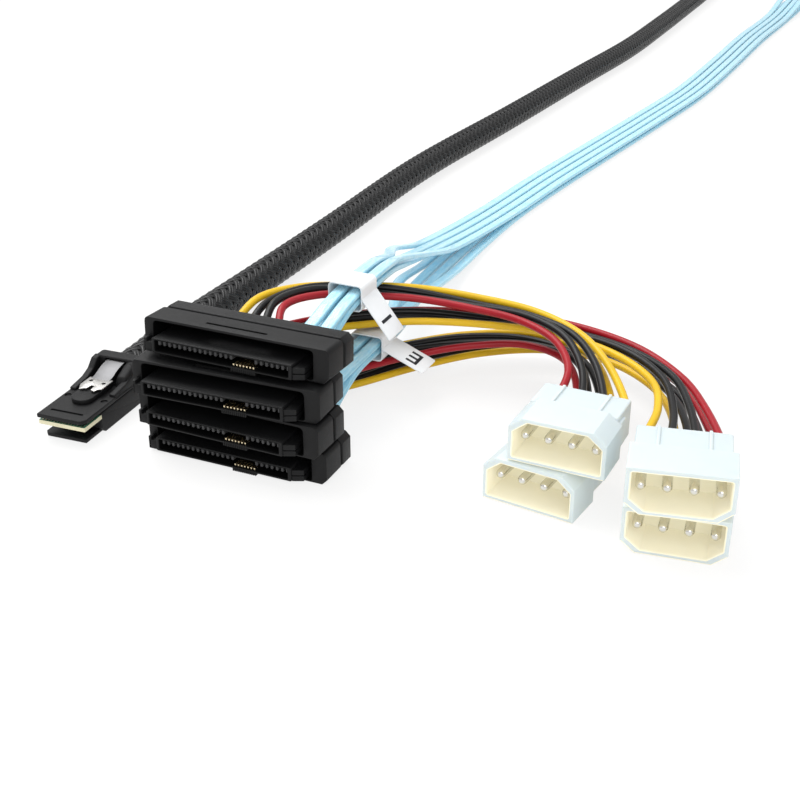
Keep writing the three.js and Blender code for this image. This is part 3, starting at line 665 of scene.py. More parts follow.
# Stations of a row of four wires: its middle and the spacing across it
WIRE_ROWS = [
    ("power_right_lower", ("red", "black", "black", "yellow"), [
        (-0.002, 0.024, 0.0036, 0.0026), (0.001, 0.034, 0.0032, 0.0023),
        (0.009, 0.046, 0.0032, 0.0023), (0.019, 0.060, 0.0042, 0.0023),
        (0.032, 0.073, 0.005, 0.0023), (0.048, 0.080, 0.0054, 0.0023),
        (0.066, 0.079, 0.0054, 0.0023), (0.082, 0.068, 0.0054, 0.0023),
        (0.091, 0.052, 0.0053, 0.0025), (0.0942, 0.040, 0.0052, 0.0034)]),
    ("power_left_lower", ("yellow", "black", "black", "red"), [
        (-0.002, 0.021, 0.011, 0.0026), (0.0, 0.031, 0.0088, 0.0023),
        (0.008, 0.044, 0.0079, 0.0023), (0.018, 0.056, 0.0086, 0.0023),
        (0.031, 0.066, 0.0094, 0.0023), (0.046, 0.071, 0.0098, 0.0023),
        (0.059, 0.067, 0.0096, 0.0023), (0.067, 0.055, 0.0082, 0.0025),
        (0.0698, 0.043, 0.0062, 0.0034)]),
    ("power_right_upper", ("red", "black", "black", "yellow"), [
        (-0.002, 0.022, 0.0205, 0.0026), (0.001, 0.036, 0.0195, 0.0023),
        (0.009, 0.0485, 0.0185, 0.0023), (0.021, 0.058, 0.0176, 0.0023),
        (0.036, 0.063, 0.017, 0.0023), (0.054, 0.0655, 0.0168, 0.0023),
        (0.072, 0.061, 0.0168, 0.0023), (0.085, 0.050, 0.0168, 0.0024),
        (0.091, 0.038, 0.0162, 0.0034)]),
    ("power_left_upper", ("yellow", "black", "black", "red"), [
        (-0.0015, 0.026, 0.0292, 0.0026), (0.0012, 0.040, 0.0278, 0.0023),
        (0.009, 0.0525, 0.0244, 0.0023), (0.020, 0.0595, 0.0224, 0.0023),
        (0.034, 0.062, 0.0212, 0.0023), (0.048, 0.062, 0.0206, 0.0023),
        (0.060, 0.056, 0.020, 0.0024), (0.068, 0.046, 0.018, 0.0032)]),
]
RIBBON_EXIT_X = (0.0102, 0.0142)
RIBBON_EXIT_Z = 0.0038
RIBBON_LEAD = 0.003
LANE_SPACING = 0.0035
LAYER_STEP = 0.0019
MOUTH_STEP = 0.0017
PAIR_HALF = 0.0019
# A bundle of four ribbons: its connectors (outer lanes, inner lanes), level on the floor, and
# stations where it is gathered and where it fans out
BUNDLES = [
    ((1, 0), 0.001,
     [(0.0132, 0.034, 0.0124), (0.0134, 0.048, 0.013), (0.0126, 0.060, 0.0126),
      (0.0085, 0.076, 0.0096)],
     [(0.0035, 0.098, 0.006), (0.0, 0.124, 0.0034), (-0.002, 0.152, 0.0016)]),
    ((3, 2), 0.0029,
     [(0.0128, 0.032, 0.0286), (0.0124, 0.044, 0.0294), (0.011, 0.058, 0.0284),
      (0.006, 0.078, 0.0225)],
     [(0.0, 0.102, 0.014), (-0.0034, 0.128, 0.008), (-0.0034, 0.154, 0.0046)]),
]
FLOOR_ROUTE = [
    (-0.002, 0.182), (0.0015, 0.220), (0.007, 0.266), (0.013, 0.316), (0.0185, 0.369),
    (0.0205, 0.430), (0.0215, 0.497), (0.0245, 0.565),
]
LIFTED = (0.0264, 0.606)
MOUTH = (0.027, 0.632)
MOUTH_END = (0.027, 0.651)
MOUTH_LIFT = 0.0001
MIDDLE_LANE = 1.5
# The trunk's middle at the plug, where it starts and bends down, and where its strands start
SLEEVE_LEVEL = 0.0056
SLEEVE_START = 0.0005
SLEEVE_LEAD = 0.006
SLEEVE_DROP = 0.0002
STRAND_START = 0.0001
# How far the core and the strands lie inside the trunk's diameter, and how far a strand swings
CORE_INSET = 0.00072
STRAND_INSET = 0.00042
STRAND_SWING = 0.00019
# Powers that square off a ribbon's section, across it and through it
RIBBON_POWERS = (0.45, 0.75)
# Steps along each kind of cord
CORE_STEPS = 520
STRAND_STEPS = 1500
RIBBON_STEPS = 340
WIRE_STEPS = 150


def laid(points):
    """Metres from the lowest mating face, to metres in the frame."""
    return np.array(points, float) - [0, ORIGIN_BACK * MM, 0]


def point_on(place, x, y, z):
    """Point of a placed piece in metres, x, y and z in metres in its own place."""
    return place.of(np.array([x, y, z]) / MM) * MM


def sleeve_line(count, over_collar=False):
    """Middle of the trunk, from the plug's rear or, for the strands, from over its collar."""
    length = PLUG_LENGTH * MM
    first = REAR_END * MM + STRAND_START if over_collar else length + SLEEVE_START
    start = point_on(PLUG, 0, first, SLEEVE_LEVEL)
    lead = point_on(PLUG, 0, length + SLEEVE_LEAD, SLEEVE_LEVEL - SLEEVE_DROP)
    return laid(even_line([start, lead, *SLEEVE_ROUTE], count))


def wire_line(level, number, count):
    """Middle of a power wire, out of its connector and into its plug. At each station of its
    row it lies across the row's heading by its number from the middle times the spacing, and
    sways up and down by a sine."""
    name, colours, stations = WIRE_ROWS[level]
    across = number - (len(colours) - 1) / 2
    rear = (DRIVE_DEPTH + TOUCH_GAP) * MM
    plug_rear = (POWER_LENGTH + TOUCH_GAP) * MM
    exit_x = WIRE_EXIT_X + across * WIRE_SPACING
    points = [point_on(DRIVES[level], exit_x, rear + lead, WIRE_EXIT_Z) for lead in (0, WIRE_LEAD)]
    for k, (x, y, z, spacing) in enumerate(stations):
        before, after = stations[max(k - 1, 0)], stations[min(k + 1, len(stations) - 1)]
        heading = np.subtract(after[:2], before[:2])
        heading = heading / np.linalg.norm(heading)
        sway = WIRE_SWAY * math.sin(2.1 * number + 1.3 * k + level)
        offset = across * spacing
        points.append((x + heading[1] * offset, y - heading[0] * offset, z + sway))
    plug = POWER_PLUGS[name]
    upright = 1 if plug.turn[2, 2] > 0 else -1
    x = -across * PIN_PITCH * MM * upright
    points += [point_on(plug, x, plug_rear + lead, 0) for lead in (WIRE_LEAD, 0)]
    return laid(even_line(points, count))


def lane_offset(lane, shape):
    """Offset of a lane in its bundle of four: two by two, or side by side."""
    outer = lane in (0, 3)
    if shape == "pairs":
        return (-PAIR_HALF if lane < 2 else PAIR_HALF), LAYER_STEP * (0.5 if outer else -0.5)
    return (lane - MIDDLE_LANE) * LANE_SPACING, LAYER_STEP if shape == "lifting" and outer else 0.0


def ribbon_line(bundle, lane, count):
    """Middle of a ribbon: each station of its bundle plus its lane's offset there, and in the
    trunk's mouth the trunk's middle plus a step for each place in its order from the lowest."""
    drives, floor_level, gathered, fanned = BUNDLES[bundle]
    outer = lane in (0, 3)
    drive = DRIVES[drives[0 if outer else 1]]
    exit_x = RIBBON_EXIT_X[0 if lane < 2 else 1]
    rear = (DRIVE_DEPTH + TOUCH_GAP) * MM
    points = [point_on(drive, exit_x, rear + lead, RIBBON_EXIT_Z) for lead in (0, RIBBON_LEAD)]
    order = (0 if outer else 1) if bundle == 0 else (3 if outer else 2)
    mouth_level = SLEEVE_DIAMETER * MM / 2 + MOUTH_LIFT + (order - MIDDLE_LANE) * MOUTH_STEP
    column = -LANE_SPACING / 2 if lane < 2 else LANE_SPACING / 2
    shapes = ["pairs"] * len(gathered) + ["lifting"] + ["floor"] * (len(fanned) - 1)
    stations = list(zip([*gathered, *fanned], shapes))
    stations += [((x, y, floor_level), "floor") for x, y in FLOOR_ROUTE]
    stations.append(((*LIFTED, mouth_level), "floor"))
    for (x, y, z), shape in stations:
        across, up = lane_offset(lane, shape)
        points.append((x + across, y, z + up))
    points += [(x + column, y, mouth_level) for x, y in (MOUTH, MOUTH_END)]
    return laid(even_line(points, count))


def braid_paint(cords):
    """Black monofilament: three round filaments side by side in each flat strand."""
    paint = Paint("braid_strand", {"Specular IOR Level": 0.3})
    along, across = paint.chart()
    filaments = (across * (1.5 * math.pi)).sine().size()
    speckle = paint.noise(900.0)
    paint.tint(speckle, cords.braid, 0.6, 1.9)
    paint.feed({"Roughness": 0.16 + speckle * 0.24})
    paint.bump(filaments + (along * 5000.0).sine() * 0.04, 0.00012)
    return paint.material


def ribbon_paint(cords):
    """Pale blue film over crinkled foil: bright flecks, the foil's pale colour with a painted
    highlight on its crinkles, and a darker line along each edge.
    """
    paint = Paint("ribbon_film", {"Coat Weight": 0.5, "Coat Roughness": 0.1,
                                  "Specular IOR Level": 0.6})
    along, across = paint.chart()
    stretched = paint.vector(along * 260.0, across * 2.2, 0.0)
    crinkle = paint.noise(1.0, stretched, detail=4.0, roughness=0.6)
    fleck = paint.noise(1.0, paint.vector(along * 1500.0, across * 6.0, 0.0))
    thread, lean = along * 5200.0, across * 9.0
    weave = (thread + lean).sine() * (thread - lean).sine()
    edge = ((across.size() - 0.72) * 5.0).within()
    film, foil = tuple(cords.ribbon), tuple(cords.foil)
    # The shine mask is partly painted light: where the crinkles peak the film turns to the pale
    # foil colour, the foil's own colour with a painted highlight, a little metallic and smoother
    shine = ((crinkle * 1.5 - 0.35) + (fleck - 0.5) * 0.5).within()
    base = paint.blend(shine, film, foil)
    paint.feed({
        "Base Color": paint.blend(edge * 0.55, base, darker(film, 0.62)),
        "Metallic": shine * 0.22,
        "Roughness": 0.42 - shine * 0.18,
    })
    paint.bump(crinkle + weave * 0.12, 0.0003)
    return paint.material


class CABLE_OT_trunk(bpy.types.Operator):
    """Braids the trunk's sleeve: two families of flat strands, each over two and under two"""

    bl_idname = "cable.trunk"
    bl_label = "Braided trunk"

    def execute(self, context):
        cords = context.scene.cable_cords
        line = sleeve_line(CORE_STEPS)
        core = swept(line, circle(SLEEVE_DIAMETER / 2 * MM - CORE_INSET, 24))
        inner = moulding("braid_core", (0.006, 0.006, 0.007), 0.7)
        core = piece("sleeve_core", [core], [inner])
        paint = braid_paint(cords)
        strands = [self.strands(cords, paint, way) for way in (1, -1)]
        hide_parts("sleeve")
        return {"FINISHED"}

    def strands(self, cords, paint, way):
        """A strand's angle is way * 2 pi s / lay + its start, and its radius swings by
        sin(pi / 2 * crossings + its phase), so that it goes over two and under two."""
        line = sleeve_line(STRAND_STEPS, over_collar=True)
        far = np.linspace(0, length_of(line), STRAND_STEPS)
        side, rise = level_frame(line)
        count = cords.carriers
        crossings = 2 * far / cords.lay * count
        middle = SLEEVE_DIAMETER / 2 * MM - STRAND_INSET
        half_turn = cords.strand_width / 2 / middle / math.cos(math.atan(
            2 * math.pi * middle / cords.lay))
        section = np.array([(-1, 0), (0, -0.5), (1, 0), (0, 0.5)])
        chart = length_chart(line, section[:, 0])
        shells = []
        for k in range(count):
            angle = way * 2 * math.pi * far / cords.lay + 2 * math.pi * k / count
            phase = math.pi / 2 * (way * crossings + 2 * k) + math.pi / 4
            radius = middle + way * STRAND_SWING * np.sin(phase)
            turn = angle[:, None] - section[:, 0] * half_turn
            reach = radius[:, None] + section[:, 1] * cords.strand_thickness
            grid = line[:, None] + (side[:, None] * (np.cos(turn) * reach)[..., None]
                                    + rise[:, None] * (np.sin(turn) * reach)[..., None])
            shells.append(rings(grid, chart))
        name = "sleeve_strands_right" if way > 0 else "sleeve_strands_left"
        return piece(name, shells, [paint], sharp=60)


class CABLE_OT_ribbons(bpy.types.Operator):
    """Lays the eight flat signal ribbons from their connectors to the sleeve's mouth"""

    bl_idname = "cable.ribbons"
    bl_label = "Signal ribbons"

    def execute(self, context):
        paint = ribbon_paint(context.scene.cable_cords)
        half, thick = RIBBON_WIDTH / 2 * MM, RIBBON_THICKNESS / 2 * MM
        angle = np.arange(16) * math.pi / 8 + math.pi / 16
        section = np.stack([
            half * np.sign(np.cos(angle)) * np.abs(np.cos(angle)) ** RIBBON_POWERS[0],
            thick * np.sign(np.sin(angle)) * np.abs(np.sin(angle)) ** RIBBON_POWERS[1]], axis=1)
        for bundle in (0, 1):
            for lane in range(4):
                line = ribbon_line(bundle, lane, RIBBON_STEPS)
                drive = BUNDLES[bundle][0][0 if lane in (0, 3) else 1]
                node = f"ribbon_{drive + 1}_{'left' if lane < 2 else 'right'}"
                shell = swept(line, section, section[:, 0] / half)
                made = piece(f"{node}_film", [shell], [paint], replaces=[node],
                             sharp=70)
        return {"FINISHED"}


class CABLE_OT_wires(bpy.types.Operator):
    """Lays the sixteen power wires from the drive connectors to the power plugs"""

    bl_idname = "cable.wires"
    bl_label = "Power wires"

    def execute(self, context):
        cords = context.scene.cable_cords
        paints = {c: insulation(f"{c}_insulation", tuple(getattr(cords, c)))
                  for c in ("yellow", "red", "black")}
        section = circle(WIRE_DIAMETER / 2 * MM, 14)
        for level, (_, colours, _) in enumerate(WIRE_ROWS):
            for number, colour in enumerate(colours):
                line = wire_line(level, number, WIRE_STEPS)
                node = f"wire_{level + 1}_{number + 1}_{colour}"
                made = piece(f"{node}_cover", [swept(line, section)], [paints[colour]],
                             replaces=[node], sharp=60)
        return {"FINISHED"}


# Drive connectors

RECEPTACLE_Z = (0.6, 4.0)
POCKET_Z = (1.2, 3.5)
POCKET_MARGIN = 0.9
POCKET_DEPTH = 5.5
RECEPTACLE_BACK = HOOD_BACK - 0.1
TOOTH = {"half": 0.33, "front": 0.35, "drop": 1.05}
TOOTH_Y = (TOOTH["front"], POCKET_DEPTH + 0.1)
FINE_HALF = 0.18
CORNER = 1.2
HOOD_INSIDE = (HOOD_LEFT + 2.4, HOOD_RIGHT - 3.7, 0.5, DRIVE_HEIGHT - 0.7)
HOOD_FLOOR = HOOD_BACK - 0.7
ROOF_SLOT = ((-6.7, 8.3), (4.7, 5.5), (DRIVE_HEIGHT - 1, DRIVE_HEIGHT + 1))
NECK_INSET = 0.6
# Bump under the fine contacts, with upright ridges on its front
BUMP_X = (LAST_POWER_X + FIRST_SIGNAL_X) / 2
BUMP_HALF = 3
BUMP_Z = (0.08, 1.15)
RIDGES = {"count": 13, "pitch": 0.46, "radius": 0.19, "front": 0.08, "low": 0.06}
# Key tab and its stop at the receptacle's left end, along X, Y and Z
KEY_LEFT = RECEPTACLE_LEFT - 2.3
KEY_TAB = ((KEY_LEFT, RECEPTACLE_LEFT + 0.1), (0.4, 3.6), (0.6, 2.8))
KEY_STOP = ((KEY_LEFT, KEY_LEFT + 0.8), (0.4, 6), (0.6, 3.6))
# Guide arm at its right end: along X, and the levels of its layers with their insets
ARM_X = (RECEPTACLE_RIGHT - 0.1, RECEPTACLE_RIGHT + 2.4)
ARM_LAYERS = ((0.6, 1.85, 0), (1.8, 2.1, 0.3), (2.05, 3.3, 0))
# Collars round the wires and the ribbons at the cover's rear
COLLAR_Y = (DRIVE_DEPTH - 0.3, DRIVE_DEPTH + 0.8)
WIRE_COLLAR_RADIUS = 1.3
RIBBON_COLLAR_HALF = 1.8
RIBBON_COLLAR_Z = (2.8, 4.8)


def hood_outline(left, right, bottom, top, cut, soft):
    """Outline across X and Z with its lower corners cut off and its upper ones rounded."""
    corners = [(left + cut, bottom), (right - cut, bottom), (right, bottom + cut),
               (right, top), (left, top), (left, bottom + cut)]
    return rounded(corners, [0.15, 0.15, 0.15, soft, soft, 0.15])


def cover_outline(left, right, bottom, top, cut):
    """Outline across X and Z with all four corners cut off."""
    return rounded([(left + cut, bottom), (right - cut, bottom), (right, bottom + cut),
                    (right, top - cut), (right - cut, top), (left + cut, top),
                    (left, top - cut), (left, bottom + cut)], 0.15, 2)


class CABLE_OT_drive_connectors(bpy.types.Operator):
    """Builds the four drive connectors: hood, receptacle, comb, contacts and rear cover"""

    bl_idname = "cable.drive_connectors"
    bl_label = "Drive connectors"

    def execute(self, context):
        settings = context.scene.cable_drives
        housing = moulding("drive_housing", tuple(settings.housing), 0.46)
        # Painted shade: a darker, duller copy of the housing for the inside of the hood's and the
        # receptacle's pockets
        inside = moulding("drive_inside_painted_shade", darker(settings.housing, 0.4), 0.6, shine=0.05)
        cover = moulding("drive_cover", tuple(settings.cover), 0.42)
        comb = moulding("drive_comb", tuple(settings.comb), 0.4)
        gold = metal("contact_gold", tuple(settings.gold), 0.28)
        for level, place in enumerate(DRIVES):
            name = f"drive_{level + 1}"
            hood, slot = self.hood()
            piece(f"{name}_hood", framed(hood, place), [housing, inside],
                  replaces=[f"{name}_housing"], cuts=framed(slot, place))
            piece(f"{name}_receptacle", framed(self.receptacle(), place), [housing, inside])
            piece(f"{name}_comb", framed(self.comb(), place), [comb])
            piece(f"{name}_fine_contacts", framed(self.fine_contacts(), place), [gold])
            piece(f"{name}_rear", framed(self.cover(), place), [cover],
                  replaces=[f"{name}_cover"])
        return {"FINISHED"}

    def hood(self):
        outer = hood_outline(HOOD_LEFT, HOOD_RIGHT, 0, DRIVE_HEIGHT, CORNER, CORNER)
        inner = hood_outline(*HOOD_INSIDE, 0.3, 1.0)
        shell = pocket_block(outer, inner, HOOD_SETBACK, HOOD_BACK, HOOD_FLOOR, lip=0.18)
        return [shell], [block(*ROOF_SLOT, corner=0.3)]

    def receptacle(self):
        outer = rounded(rectangle(RECEPTACLE_LEFT, RECEPTACLE_RIGHT, *RECEPTACLE_Z), 0.3)
        inner = rounded(rectangle(RECEPTACLE_LEFT + POCKET_MARGIN,
                                  RECEPTACLE_RIGHT - POCKET_MARGIN, *POCKET_Z), 0.2)
        back = RECEPTACLE_BACK
        shells = [pocket_block(outer, inner, 0, back, POCKET_DEPTH, lip=0.22),
                  block(span(BUMP_X, BUMP_HALF), (0.1, back), BUMP_Z)]
        for x in spread(RIDGES["count"], RIDGES["pitch"], BUMP_X):
            ridge = circle(RIDGES["radius"], 10) + [x, RIDGES["front"]]
            shells.append(slab(ridge, RIDGES["low"], BUMP_Z[1], edge=0.05))
        shells += [block(*box, corner=0.3) for box in (KEY_TAB, KEY_STOP)]
        left, right = ARM_X
        arm = rounded([(left, 0.3), (right, 1.4), (right, back), (left, back)], 0.25, 3)
        shells += [slab(inset(arm, amount), *levels, edge=0.1) for *levels, amount in ARM_LAYERS]
        return shells

    def comb(self):
        top = POCKET_Z[1]
        shells = []
        for first, count in (FIRST_POWER_X, POWER_CONTACTS), (FIRST_SIGNAL_X, SIGNAL_CONTACTS):
            for k in range(count):
                x = first + k * CONTACT_PITCH
                corners = rectangle(*span(x, TOOTH["half"]), top - TOOTH["drop"], top + 0.1)
                outline = rounded(corners, (0.26, 0.26, 0.03, 0.03), 3)
                shells.append(slab(outline, *TOOTH_Y, "y", edge=0.12))
        return shells

    def fine_contacts(self):
        levels = (POCKET_Z[0] - 0.1, POCKET_Z[0] + 0.5)
        return [block(span(x, FINE_HALF), TOOTH_Y, levels, corner=0.06, edge=0.06)
                for x in spread(FINE_COUNT, FINE_PITCH, BUMP_X)]

    def cover(self):
        start = HOOD_BACK + TOUCH_GAP
        neck = cover_outline(HOOD_LEFT + NECK_INSET, HOOD_RIGHT - NECK_INSET,
                             NECK_INSET, DRIVE_HEIGHT - NECK_INSET, CORNER)
        rear = cover_outline(HOOD_LEFT, HOOD_RIGHT, 0, DRIVE_HEIGHT, CORNER)
        shells = [slab(neck, start - 0.2, start + 0.7, "y"),
                  slab(rear, start + 0.5, DRIVE_DEPTH, "y", edge=0.35, steps=3)]
        for x in spread(4, WIRE_SPACING, WIRE_EXIT_X):
            ring = circle(WIRE_COLLAR_RADIUS, 20) + [x / MM, WIRE_EXIT_Z / MM]
            shells.append(slab(ring, *COLLAR_Y, "y", edge=0.25))
        for x in RIBBON_EXIT_X:
            shells.append(block(span(x / MM, RIBBON_COLLAR_HALF), COLLAR_Y, RIBBON_COLLAR_Z, "y",
                                edge=0.25, corner=0.5))
        return shells


# Latched plug

PLUG_HALF = PLUG_WIDTH / 2
SEAM = PLUG_HEIGHT - 1.0
CARD_Z = (4.0, 5.0)
BODY_START = 7.0
REAR_START = 24.0
REAR_END = 27.6
BOSS = {"radius": 2.7, "front": 7.0, "back": 18.0, "height": 1.2}
LATCH_LEVEL = PLUG_HEIGHT + BOSS["height"] + TOUCH_GAP
LATCH_THICKNESS = 0.35
STRIP_HALF = 2.4
STRIP_TOP = PLUG_REAR_HEIGHT - 0.9
STRIP_LEVEL = STRIP_TOP - 0.35
# Long recess and two round ones in the top plate
RECESS_Z = (PLUG_HEIGHT - 0.4, PLUG_HEIGHT + 1)
LONG_RECESS = ((-4.4, 4.2), (2.6, 3.4))
ROUND_RECESSES = ((-4.9, 10.6), (4.9, 10.6))
ROUND_RECESS_RADIUS = 0.85
# Side view (Y, Z) of a rail and of the cheek right of the strip, and their corners' radii
RAIL_WIDTH = 1.7
RAIL = [(13.2, SEAM), (25.0, SEAM), (25.0, PLUG_REAR_HEIGHT - 0.1),
        (23.0, PLUG_REAR_HEIGHT - 0.4), (21.0, PLUG_HEIGHT + 2.2), (18.4, PLUG_HEIGHT + 1.2),
        (13.2, PLUG_HEIGHT + 0.6)]
RAIL_RADII = (0.1, 0.1, 0.5, 0.8, 0.8, 0.8, 0.3)
CHEEK = [(17.6, SEAM + 0.3), (25.0, SEAM + 0.3), (25.0, PLUG_REAR_HEIGHT - 0.3),
         (22.6, PLUG_REAR_HEIGHT - 0.7), (19.0, PLUG_HEIGHT + 2.3)]
CHEEK_RADII = (0.2, 0.2, 0.8, 1.2, 1.2)
# Side view of the base, and the nose under the card from above
BASE_ROOF = SEAM - TOUCH_GAP
BASE = [(BODY_START + 1.8, 0), (REAR_END, 0), (REAR_END, BASE_ROOF), (BODY_START, BASE_ROOF),
        (BODY_START, 1.6)]
NOSE = [(-5.2, 1.8), (5.1, 1.8), (5.1, 10), (-6.0, 10), (-6.0, 2.6)]
NOSE_Z = (0.2, 1.1)
FINGERS = {"count": 15, "pitch": 0.75, "half": 0.2, "y": (0.7, 5.0)}
# Latch plate from above, its toothed front edge from left to right, and its holes
PLATE_HALF = 3.1
PLATE_FRONT = 11.2
PLATE_BACK = 17.6
PLATE_TEETH = [(-PLATE_HALF, 2.2), (-PLATE_HALF + 1, 0), (-PLATE_HALF + 2, 0.8), (-0.6, 0.8),
               (-0.3, 2.6), (0.5, 2.6), (0.8, 0.4), (PLATE_HALF - 1.2, 0), (PLATE_HALF - 0.6, 1.4),
               (PLATE_HALF, 1.6)]
PLATE_HOLES = ((-1.8, 15.9), (1.9, 15.4))
PLATE_HOLE_RADIUS = 0.5
# Side view of the latch's strip, which rises from its plate into the rear block's pocket
STRIP = [(17.0, LATCH_LEVEL), (18.8, LATCH_LEVEL + 0.4), (21.2, STRIP_TOP - 0.8),
         (REAR_START, STRIP_LEVEL), (REAR_START + 2.4, STRIP_LEVEL)]


class CABLE_OT_latched_plug(bpy.types.Operator):
    """Builds the latched plug: two shells, the card between them and the spring latch"""

    bl_idname = "cable.latched_plug"
    bl_label = "Latched plug"

    def execute(self, context):
        settings = context.scene.cable_plug
        shell = moulding("plug_shell", tuple(settings.shell), 0.5)
        steel = metal("latch_steel", tuple(settings.steel), 0.34)
        dull = metal("strip_steel", tuple(settings.strip), 0.5)
        gold = metal("finger_gold", tuple(context.scene.cable_drives.gold), 0.3)
        edge = moulding("card_edge", tuple(settings.edge), 0.5)
        face = moulding("card_face", tuple(settings.card), 0.3)
        plate, recesses = self.top_plate()
        piece("plug_top_plate", framed(plate, PLUG), [shell],
              replaces=["plug_upper_shell"], cuts=framed(recesses, PLUG))
        piece("plug_boss_and_rails", framed(self.boss_and_rails(), PLUG), [shell])
        rear, pocket = self.rear()
        piece("plug_rear_block", framed(rear, PLUG), [shell],
              cuts=framed(pocket, PLUG))
        piece("plug_collar", framed(self.collar(), PLUG), [shell])
        piece("plug_base", framed(self.base(), PLUG), [shell],
              replaces=["plug_lower_shell"])
        piece("plug_card_board", framed(self.card(), PLUG), [edge, face],
              replaces=["plug_card"])
        piece("plug_card_fingers", framed(self.fingers(), PLUG), [gold])
        plate, holes = self.latch_plate()
        piece("latch_plate", framed(plate, PLUG), [steel], body=LATCH_BODY,
              replaces=["plug_latch"], cuts=framed(holes, PLUG))
        piece("latch_strip", framed([self.strip()], PLUG), [dull], body=LATCH_BODY)
        return {"FINISHED"}

    def top_plate(self):
        corners = [(-PLUG_HALF, 0), (PLUG_HALF - 1.1, 0), (PLUG_HALF, 1.3),
                   (PLUG_HALF, REAR_END), (-PLUG_HALF, REAR_END)]
        plate = slab(rounded(corners, 0.2, 2), SEAM, PLUG_HEIGHT, edge=0.18, steps=3)
        recesses = [block(*LONG_RECESS, RECESS_Z, corner=0.3)]
        recesses += [slab(circle(ROUND_RECESS_RADIUS, 20) + middle, *RECESS_Z)
                     for middle in ROUND_RECESSES]
        return [plate], recesses

    def boss_and_rails(self):
        radius = BOSS["radius"]
        angle = np.linspace(math.pi, 2 * math.pi, 17)
        arc = np.stack([radius * np.cos(angle), BOSS["front"] + radius * (1 + np.sin(angle))], 1)
        outline = np.vstack([[(radius, BOSS["back"]), (-radius, BOSS["back"])], arc])
        shells = [slab(outline, PLUG_HEIGHT - 0.1, PLUG_HEIGHT + BOSS["height"], edge=0.3)]
        rail, cheek = rounded(RAIL, RAIL_RADII, 3), rounded(CHEEK, CHEEK_RADII, 4)
        for low in (-PLUG_HALF, PLUG_HALF - RAIL_WIDTH):
            shells.append(slab(rail, low, low + RAIL_WIDTH, "x", edge=0.35, steps=3))
        shells.append(slab(cheek, STRIP_HALF + 0.35, PLUG_HALF - 0.15, "x", edge=1.3, steps=5))
        return shells

    def rear(self):
        corners = rectangle(-PLUG_HALF, PLUG_HALF, SEAM, PLUG_REAR_HEIGHT)
        outline = rounded(corners, (0.2, 0.2, 1.6, 1.6), 6)
        pocket = block(span(0, STRIP_HALF + 0.5), (REAR_START - 1, REAR_START + 2.8),
                       (STRIP_TOP - 1, STRIP_TOP + 0.4), "y")
        return [slab(outline, REAR_START, REAR_END, "y", edge=0.7, steps=4)], [pocket]

    def collar(self):
        """Round neck that the sleeve is drawn over."""
        neck = circle(SLEEVE_DIAMETER / 2 - 0.8, 32) + [0, SLEEVE_LEVEL / MM]
        return [slab(neck, REAR_END - 0.8, PLUG_LENGTH + 0.3, "y")]

    def base(self):
        sides = span(0, PLUG_HALF - 0.2)
        return [slab(rounded(BASE, 0.3, 2), *sides, "x", edge=0.4, steps=3),
                slab(rounded(NOSE, 0.1, 2), *NOSE_Z, edge=0.12)]

    def card(self):
        outline = rounded(rectangle(*span(0, PLUG_HALF - 0.1), 0.3, BODY_START + 0.4), 0.12, 2)
        board = slab(outline, *CARD_Z, edge=0.05)
        board.paints[-2:] = [1, 1]
        return [board]

    def fingers(self):
        levels = (CARD_Z[1] - 0.02, CARD_Z[1] + 0.05)
        return [block(span(x, FINGERS["half"]), FINGERS["y"], levels, corner=0.05, edge=0.02)
                for x in spread(FINGERS["count"], FINGERS["pitch"])]

    def latch_plate(self):
        corners = [(x, PLATE_FRONT + y) for x, y in PLATE_TEETH]
        corners += [(PLATE_HALF, PLATE_BACK), (-PLATE_HALF, PLATE_BACK)]
        high = LATCH_LEVEL + LATCH_THICKNESS
        plate = slab(rounded(corners, 0.12, 2), LATCH_LEVEL, high, edge=0.06)
        holes = [slab(circle(PLATE_HOLE_RADIUS, 16) + middle, LATCH_LEVEL - 1, high + 1)
                 for middle in PLATE_HOLES]
        return [plate], holes

    def strip(self):
        under = even_line([(0, *point) for point in STRIP], 24)[:, 1:]
        outline = np.vstack([under, under[::-1] + [0, LATCH_THICKNESS]])
        return slab(outline, -STRIP_HALF, STRIP_HALF, "x", edge=0.05)


# Power plugs

POWER_HALF = POWER_WIDTH / 2
POWER_WALL = 1.1
CHAMFER = (3.0, 2.4)
REAR_INSET = 0.9
PIN_RADIUS = 1.05
PIN_SEAM = 0.82
# Pin from its root to its tip: distance from the plug's mouth, and share of the radius
PIN_PROFILE = [(9.1, 1.0), (5.0, 1.0), (3.1, 1.0), (2.7, 0.95), (2.35, 0.8), (2.1, 0.58),
               (2.0, 0.3)]
# Ribs above and below the rear block, and shoulders at its sides
RIB_X = (-5.1, 5.1)
RIB_HALF = 0.35
SHOULDER_DEPTH = 3.4
SHOULDER_HALF = 3
POWER_COLLAR_RADIUS = 1.6
# A face whose normal's height is below this looks down
DOWNWARD = -0.3


def power_outline(amount):
    """Chamfered outline of the shroud, moved inwards by an amount."""
    half, high = POWER_HALF - amount, POWER_HEIGHT / 2 - amount
    across, down = CHAMFER
    corners = [(-half, -high), (half, -high), (half, high - down), (half - across, high),
               (-half + across, high), (-half, high - down)]
    return rounded(corners, 0.35, 3)


